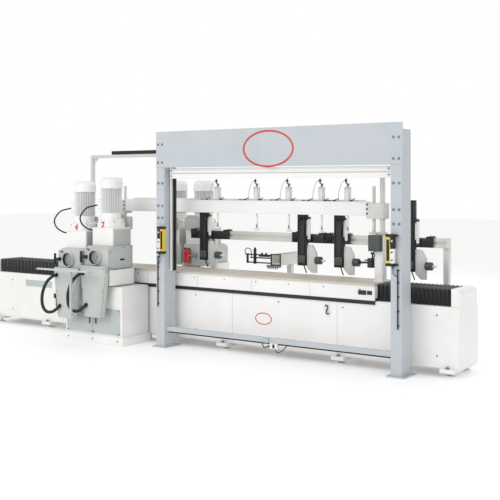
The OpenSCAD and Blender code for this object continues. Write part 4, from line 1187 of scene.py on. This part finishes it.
def buildTroughEnd():
    near = span("support_arms")[1][0]
    left, low, high = 758, 926, 1064
    bm = bmesh.new()
    for xs, zs in (((left, left + 14), (low, high)), ((left + 128, left + 142), (low, high)),
                   ((left, left + 142), (high - 12, high)), ((left, left + 142), (low, low + 12))):
        addBlock(bm, xs, (near - 10, near - 1), zs, 2, 0)
    for height, end in ((1046, 400), (1010, 470), (952, 430)):
        addRod(bm, (left + 6, near - 14, height), (end, near - 14, height), 8, 16, 2, 0)
    addBlock(bm, (528, 552), (near - 34, near), (936, 1112), 3, 0)
    addBlock(bm, (600, 752), (near - 26, near - 4), (1024, 1052), 3, 0)
    addBlock(bm, (420, 440), (near - 26, near - 2), (940, 1058), 3, 0)
    for px, pz in ((540, 1120), (640, 1060), (700, 1060)):
        addTurned(bm, (px, near - 16, pz - 10), (0, 0, 1),
                  [(0, 0), (9, 0), (13, 4), (13, 16), (9, 22), (0, 22)], 18, 0)
    line = [(px, near - 14, pz) for px, pz in ((404, 1046), (392, 1086), (430, 1122), (478, 1096), (486, 1012))]
    addTube(bm, smoothPath(line, 6), 5, 10, 0)
    addBlock(bm, (690, 860), (near + 4, near + 70), (898, 926), 3, 1)
    for px in range(704, 860, 26):
        addRod(bm, (px, near + 20, 900), (px, near + 20, 880), 6, 12, 1.5, 0)
    keepMesh("troughEnd", bm, [blackPlastic, zincSteel], "frame", (), 35)


buildTroughEnd()


# connector box below the crossbar with its two leads, and a hook on the bed

def buildUnderBar():
    y, z = span("lower_crossbar")[1:]
    at, front, low = 1390, y[0] + 12, z[0] + 20
    bm = bmesh.new()
    addBlock(bm, (at - 52, at + 46), (front + 6, front + 46), (low - 62, low - 1), 4, 0)
    addBlock(bm, (at - 12, at + 14), (front, front + 6), (low - 52, low - 12), 3, 1)
    addRod(bm, (at - 52, front + 26, low - 40), (at - 76, front + 26, low - 40), 11, 16, 2, 1)
    # its two leads, given from the box
    leads = ((5.5, ((-74, 26, -40), (-128, 26, -58), (-152, 26, -34), (-158, 26, 2))),
             (5, ((6, 20, -60), (40, 20, -96), (104, 20, -70), (176, 22, 1))))
    for radius, line in leads:
        addTube(bm, smoothPath([(at + a, front + b, low + c) for a, b, c in line], 6), radius, 10, 1)
    bedY = span("bed_body")[1][0]
    # the hook, an upper and a lower bend
    for line in (((1912, 2, 556), (1912, -16, 560), (1928, -18, 590), (1912, -18, 612), (1894, -18, 596)),
                 ((1912, -16, 560), (1906, -16, 532), (1922, -16, 516), (1942, -16, 528))):
        addTube(bm, smoothPath([(a, bedY + b, c) for a, b, c in line], 6), 6, 10, 1)
    keepMesh("underBar", bm, [whitePlastic, blackPlastic], "frame", (), 35)


buildUnderBar()


# energy chain on its pole
chain = {"pitch": 47, "count": 26, "first": -1903}


def chainLink(b):
    # one link: two side plates that overlap the next link's, a cross bar above and one below
    for y in ((-28, -22), (22, 28)):
        outline = [(-22, -24), (14, -24), (26, -12), (26, 12), (14, 24), (-22, 24), (-26, 12), (-26, -12)]
        addPrism(b, outline, *y, 1, 1.2, 0)
    for z in ((-23, -18), (18, 23)):
        addBlock(b, (-14, 8), (-24, 24), z, 1, 0)
    for y in (-30, 27):
        addRod(b, (14, y, 0), (14, y + 3, 0), 6, 12, 0.8)


chainBox = span("cable_chain")
chainY, chainZ = (sum(chainBox[i]) / 2 for i in (1, 2))
rowPiece("cableChain", chainLink, chain["count"], (chain["first"], chainY, chainZ),
         (chain["first"] + chain["pitch"] * (chain["count"] - 1), chainY, chainZ), blackPlastic, "frame",
         ("cable_chain",))


# air service unit beside the bed

def buildServiceUnit():
    bm = bmesh.new()
    for x, r, low in ((-2030, 34, 300), (-1950, 29, 250)):
        addTurned(bm, (x, -330, low), (0, 0, 1),
                  [(0, 0), (r * 0.5, 0), (r * 0.86, 8), (r, 24), (r, 418 - low), (0, 418 - low)],
                  32, 1)
        addTurned(bm, (x, -330, low), (0, 0, -1), [(0, 0), (7, 0), (7, 6), (5, 8), (5, 18), (0, 18)], 12, 0)
        addTurned(bm, (x, -330, 408), (0, 0, 1),
                  [(r + 1, 0), (r + 4, 0), (r + 4, 14), (r + 1, 14), (r + 1, 0)], 32, 0)
    addBlock(bm, (-2078, -1902), (-368, -292), (420, 480), 6, 0)
    addTurned(bm, (-2030, -330, 480), (0, 0, 1), [(0, 0), (20, 0), (25, 4), (25, 34), (21, 39), (0, 39)], 24, 0)
    addTurned(bm, (-1950, -368, 452), (0, -1, 0), [(0, 0), (21, 0), (21, 10), (18, 13), (0, 13)], 28, 0)
    addTurned(bm, (-1950, -380, 452), (0, -1, 0), [(0, 0), (17, 0), (17, 2), (0, 2)], 28, 2)
    addBlock(bm, (-2040, -1940), (-293, -240), (438, 462), 3, 3)
    addBlock(bm, (-2056, -1924), (-250, -240), (412, 490), 2, 3)
    keepMesh("serviceUnit", bm, [blackPlastic, amberBowl, whitePlastic, zincSteel], "frame",
             ("service_unit",), 35)


buildServiceUnit()
print("stage: chain and air unit")


# rail carriages with their uprights on the stop rail

carriageSpans = {"1": (-360, 210), "2": (1123, 1551), "3": (1570, 1870), "4": (2476, 2861)}
slideHigh = {tag: span("slide_" + tag)[2][1] for tag in carriageSpans}


slideMiddle = {"1": -120, "2": 1292, "3": 1770, "4": 2626}


def buildCarriage(tag):
    left, right = carriageSpans[tag]
    name, middle = "carriage" + tag, slideMiddle[tag]
    bm = bmesh.new()
    addBlock(bm, (left, right), (312, 351), (1221, 1319), 6, 0)
    addBlock(bm, (left + 22, right - 22), (310.5, 316), (1236, 1304), 2, 1)
    for at in (left, right - 70):
        addBlock(bm, (at, at + 70), (311, 415), (1323, 1337), 3, 0)
        addBlock(bm, (at, at + 70), (311, 331), (1319, 1337), 2, 0)
        for dx in (20, 50):
            addTurned(bm, (at + dx, 390, 1337), (0, 0, 1), [(0, 0), (8, 0), (8, 6), (6, 8), (0, 8)], 6, 1)
    for at in (left + 26, left + 62):
        # clamping levers in front of the block, clear of the upright's cylinder
        addTurned(bm, (at, 312, 1244), (0, -1, 0), [(0, 0), (12, 0), (12, 10), (9, 13), (0, 13)], 20, 1)
        addTube(bm, [(at, 297, 1244), (at + 6, 286, 1262), (at + 10, 280, 1292)], 5, 10, 0)
        addTurned(bm, (at + 10, 280, 1288), (0, 0, 1), [(0, 0), (8, 2), (9, 14), (6, 24), (0, 26)], 16, 0)
    keepMesh(name, bm, [blackSteel, blackPlastic], "rail_carriage_" + tag, ("carriage_" + tag,), 30)

    # upright: black profile with two grooves, cylinder, nozzle and hand stop
    top = slideHigh[tag]
    bm = bmesh.new()
    outline = [(-60, 260), (-60, 308), (60, 308), (60, 260), (46, 260), (46, 268), (34, 268), (34, 260), (-34, 260),
               (-34, 268), (-46, 268), (-46, 260)]
    addPrism(bm, [(middle + a, b) for a, b in outline], 962, top - 14, 2, 1.5, 0)
    addBlock(bm, (middle - 60, middle + 60), (258, 309), (top - 14, top - 1), 4, 0)
    addBlock(bm, (middle - 50, middle + 50), (244, 257.5), (990, 1080), 4, 3)
    addBlock(bm, (middle + 61, middle + 70), (262, 300), (1302, 1478), 2, 1)
    addRod(bm, (middle + 85, 279.6, 1242), (middle + 85, 279.6, 1518), 17, 24, 2, 1)
    for z in (1240, 1494):
        addTurned(bm, (middle + 85, 279.6, z), (0, 0, 1),
                  [(0, 0), (19, 0), (20, 2), (20, 24), (18, 26), (0, 26)], 24, 3)
    outline = ((0, 150), (70, 150), (125, 60), (125, -165), (60, -165), (0, -110))
    addPrism(bm, [(middle + 60 + a, 1050 + b) for a, b in outline],
             270, 299, 1, 3, 2)
    addTurned(bm, (middle + 184, 262.6, 1030), (1, 0, 0),
              [(0, 0), (40, 0), (44, 4), (44, 70), (38, 75), (0, 75)], 32, 3)
    addTurned(bm, (middle + 258, 262.6, 1030), (1, 0, 0), [(0, 0), (12, 0), (12, 46), (9, 52), (0, 52)], 18, 1)
    addTube(bm, smoothPath([(middle + 85, 262, 1506), (middle + 82, 240, 1540), (middle + 60, 236, 1500),
                            (middle + 40, 242, 1380), (middle + 44, 246, 1260)], 5), 4.5, 8, 0)
    addTube(bm, smoothPath([(middle + 85, 261, 1252), (middle + 90, 242, 1232), (middle + 66, 240, 1200),
                            (middle + 52, 244, 1150)], 5), 4.5, 8, 0)
    # feeler rod that hangs past the table's edge
    addRod(bm, (middle + 14, 277, 972), (middle + 52, 277, 878), 7, 14, 2, 0)
    addRod(bm, (middle - 20, 258, top - 60), (middle - 20, 236, top - 60), 7, 16, 1, 3)
    addTurned(bm, (middle - 20, 237, top - 60), (0, -1, 0),
              [(0, 0), (14, 0), (17, 3), (17, 14), (12, 19), (0, 19)], 20, 0)
    finishes = [blackSteel, whitePlastic, lightGrayEnamel, deepGray]
    keepMesh("slide" + tag, bm, finishes, "rail_slide_" + tag,
             ("slide_" + tag,), 30)


for tag in carriageSpans:
    buildCarriage(tag)
print("stage: carriages")
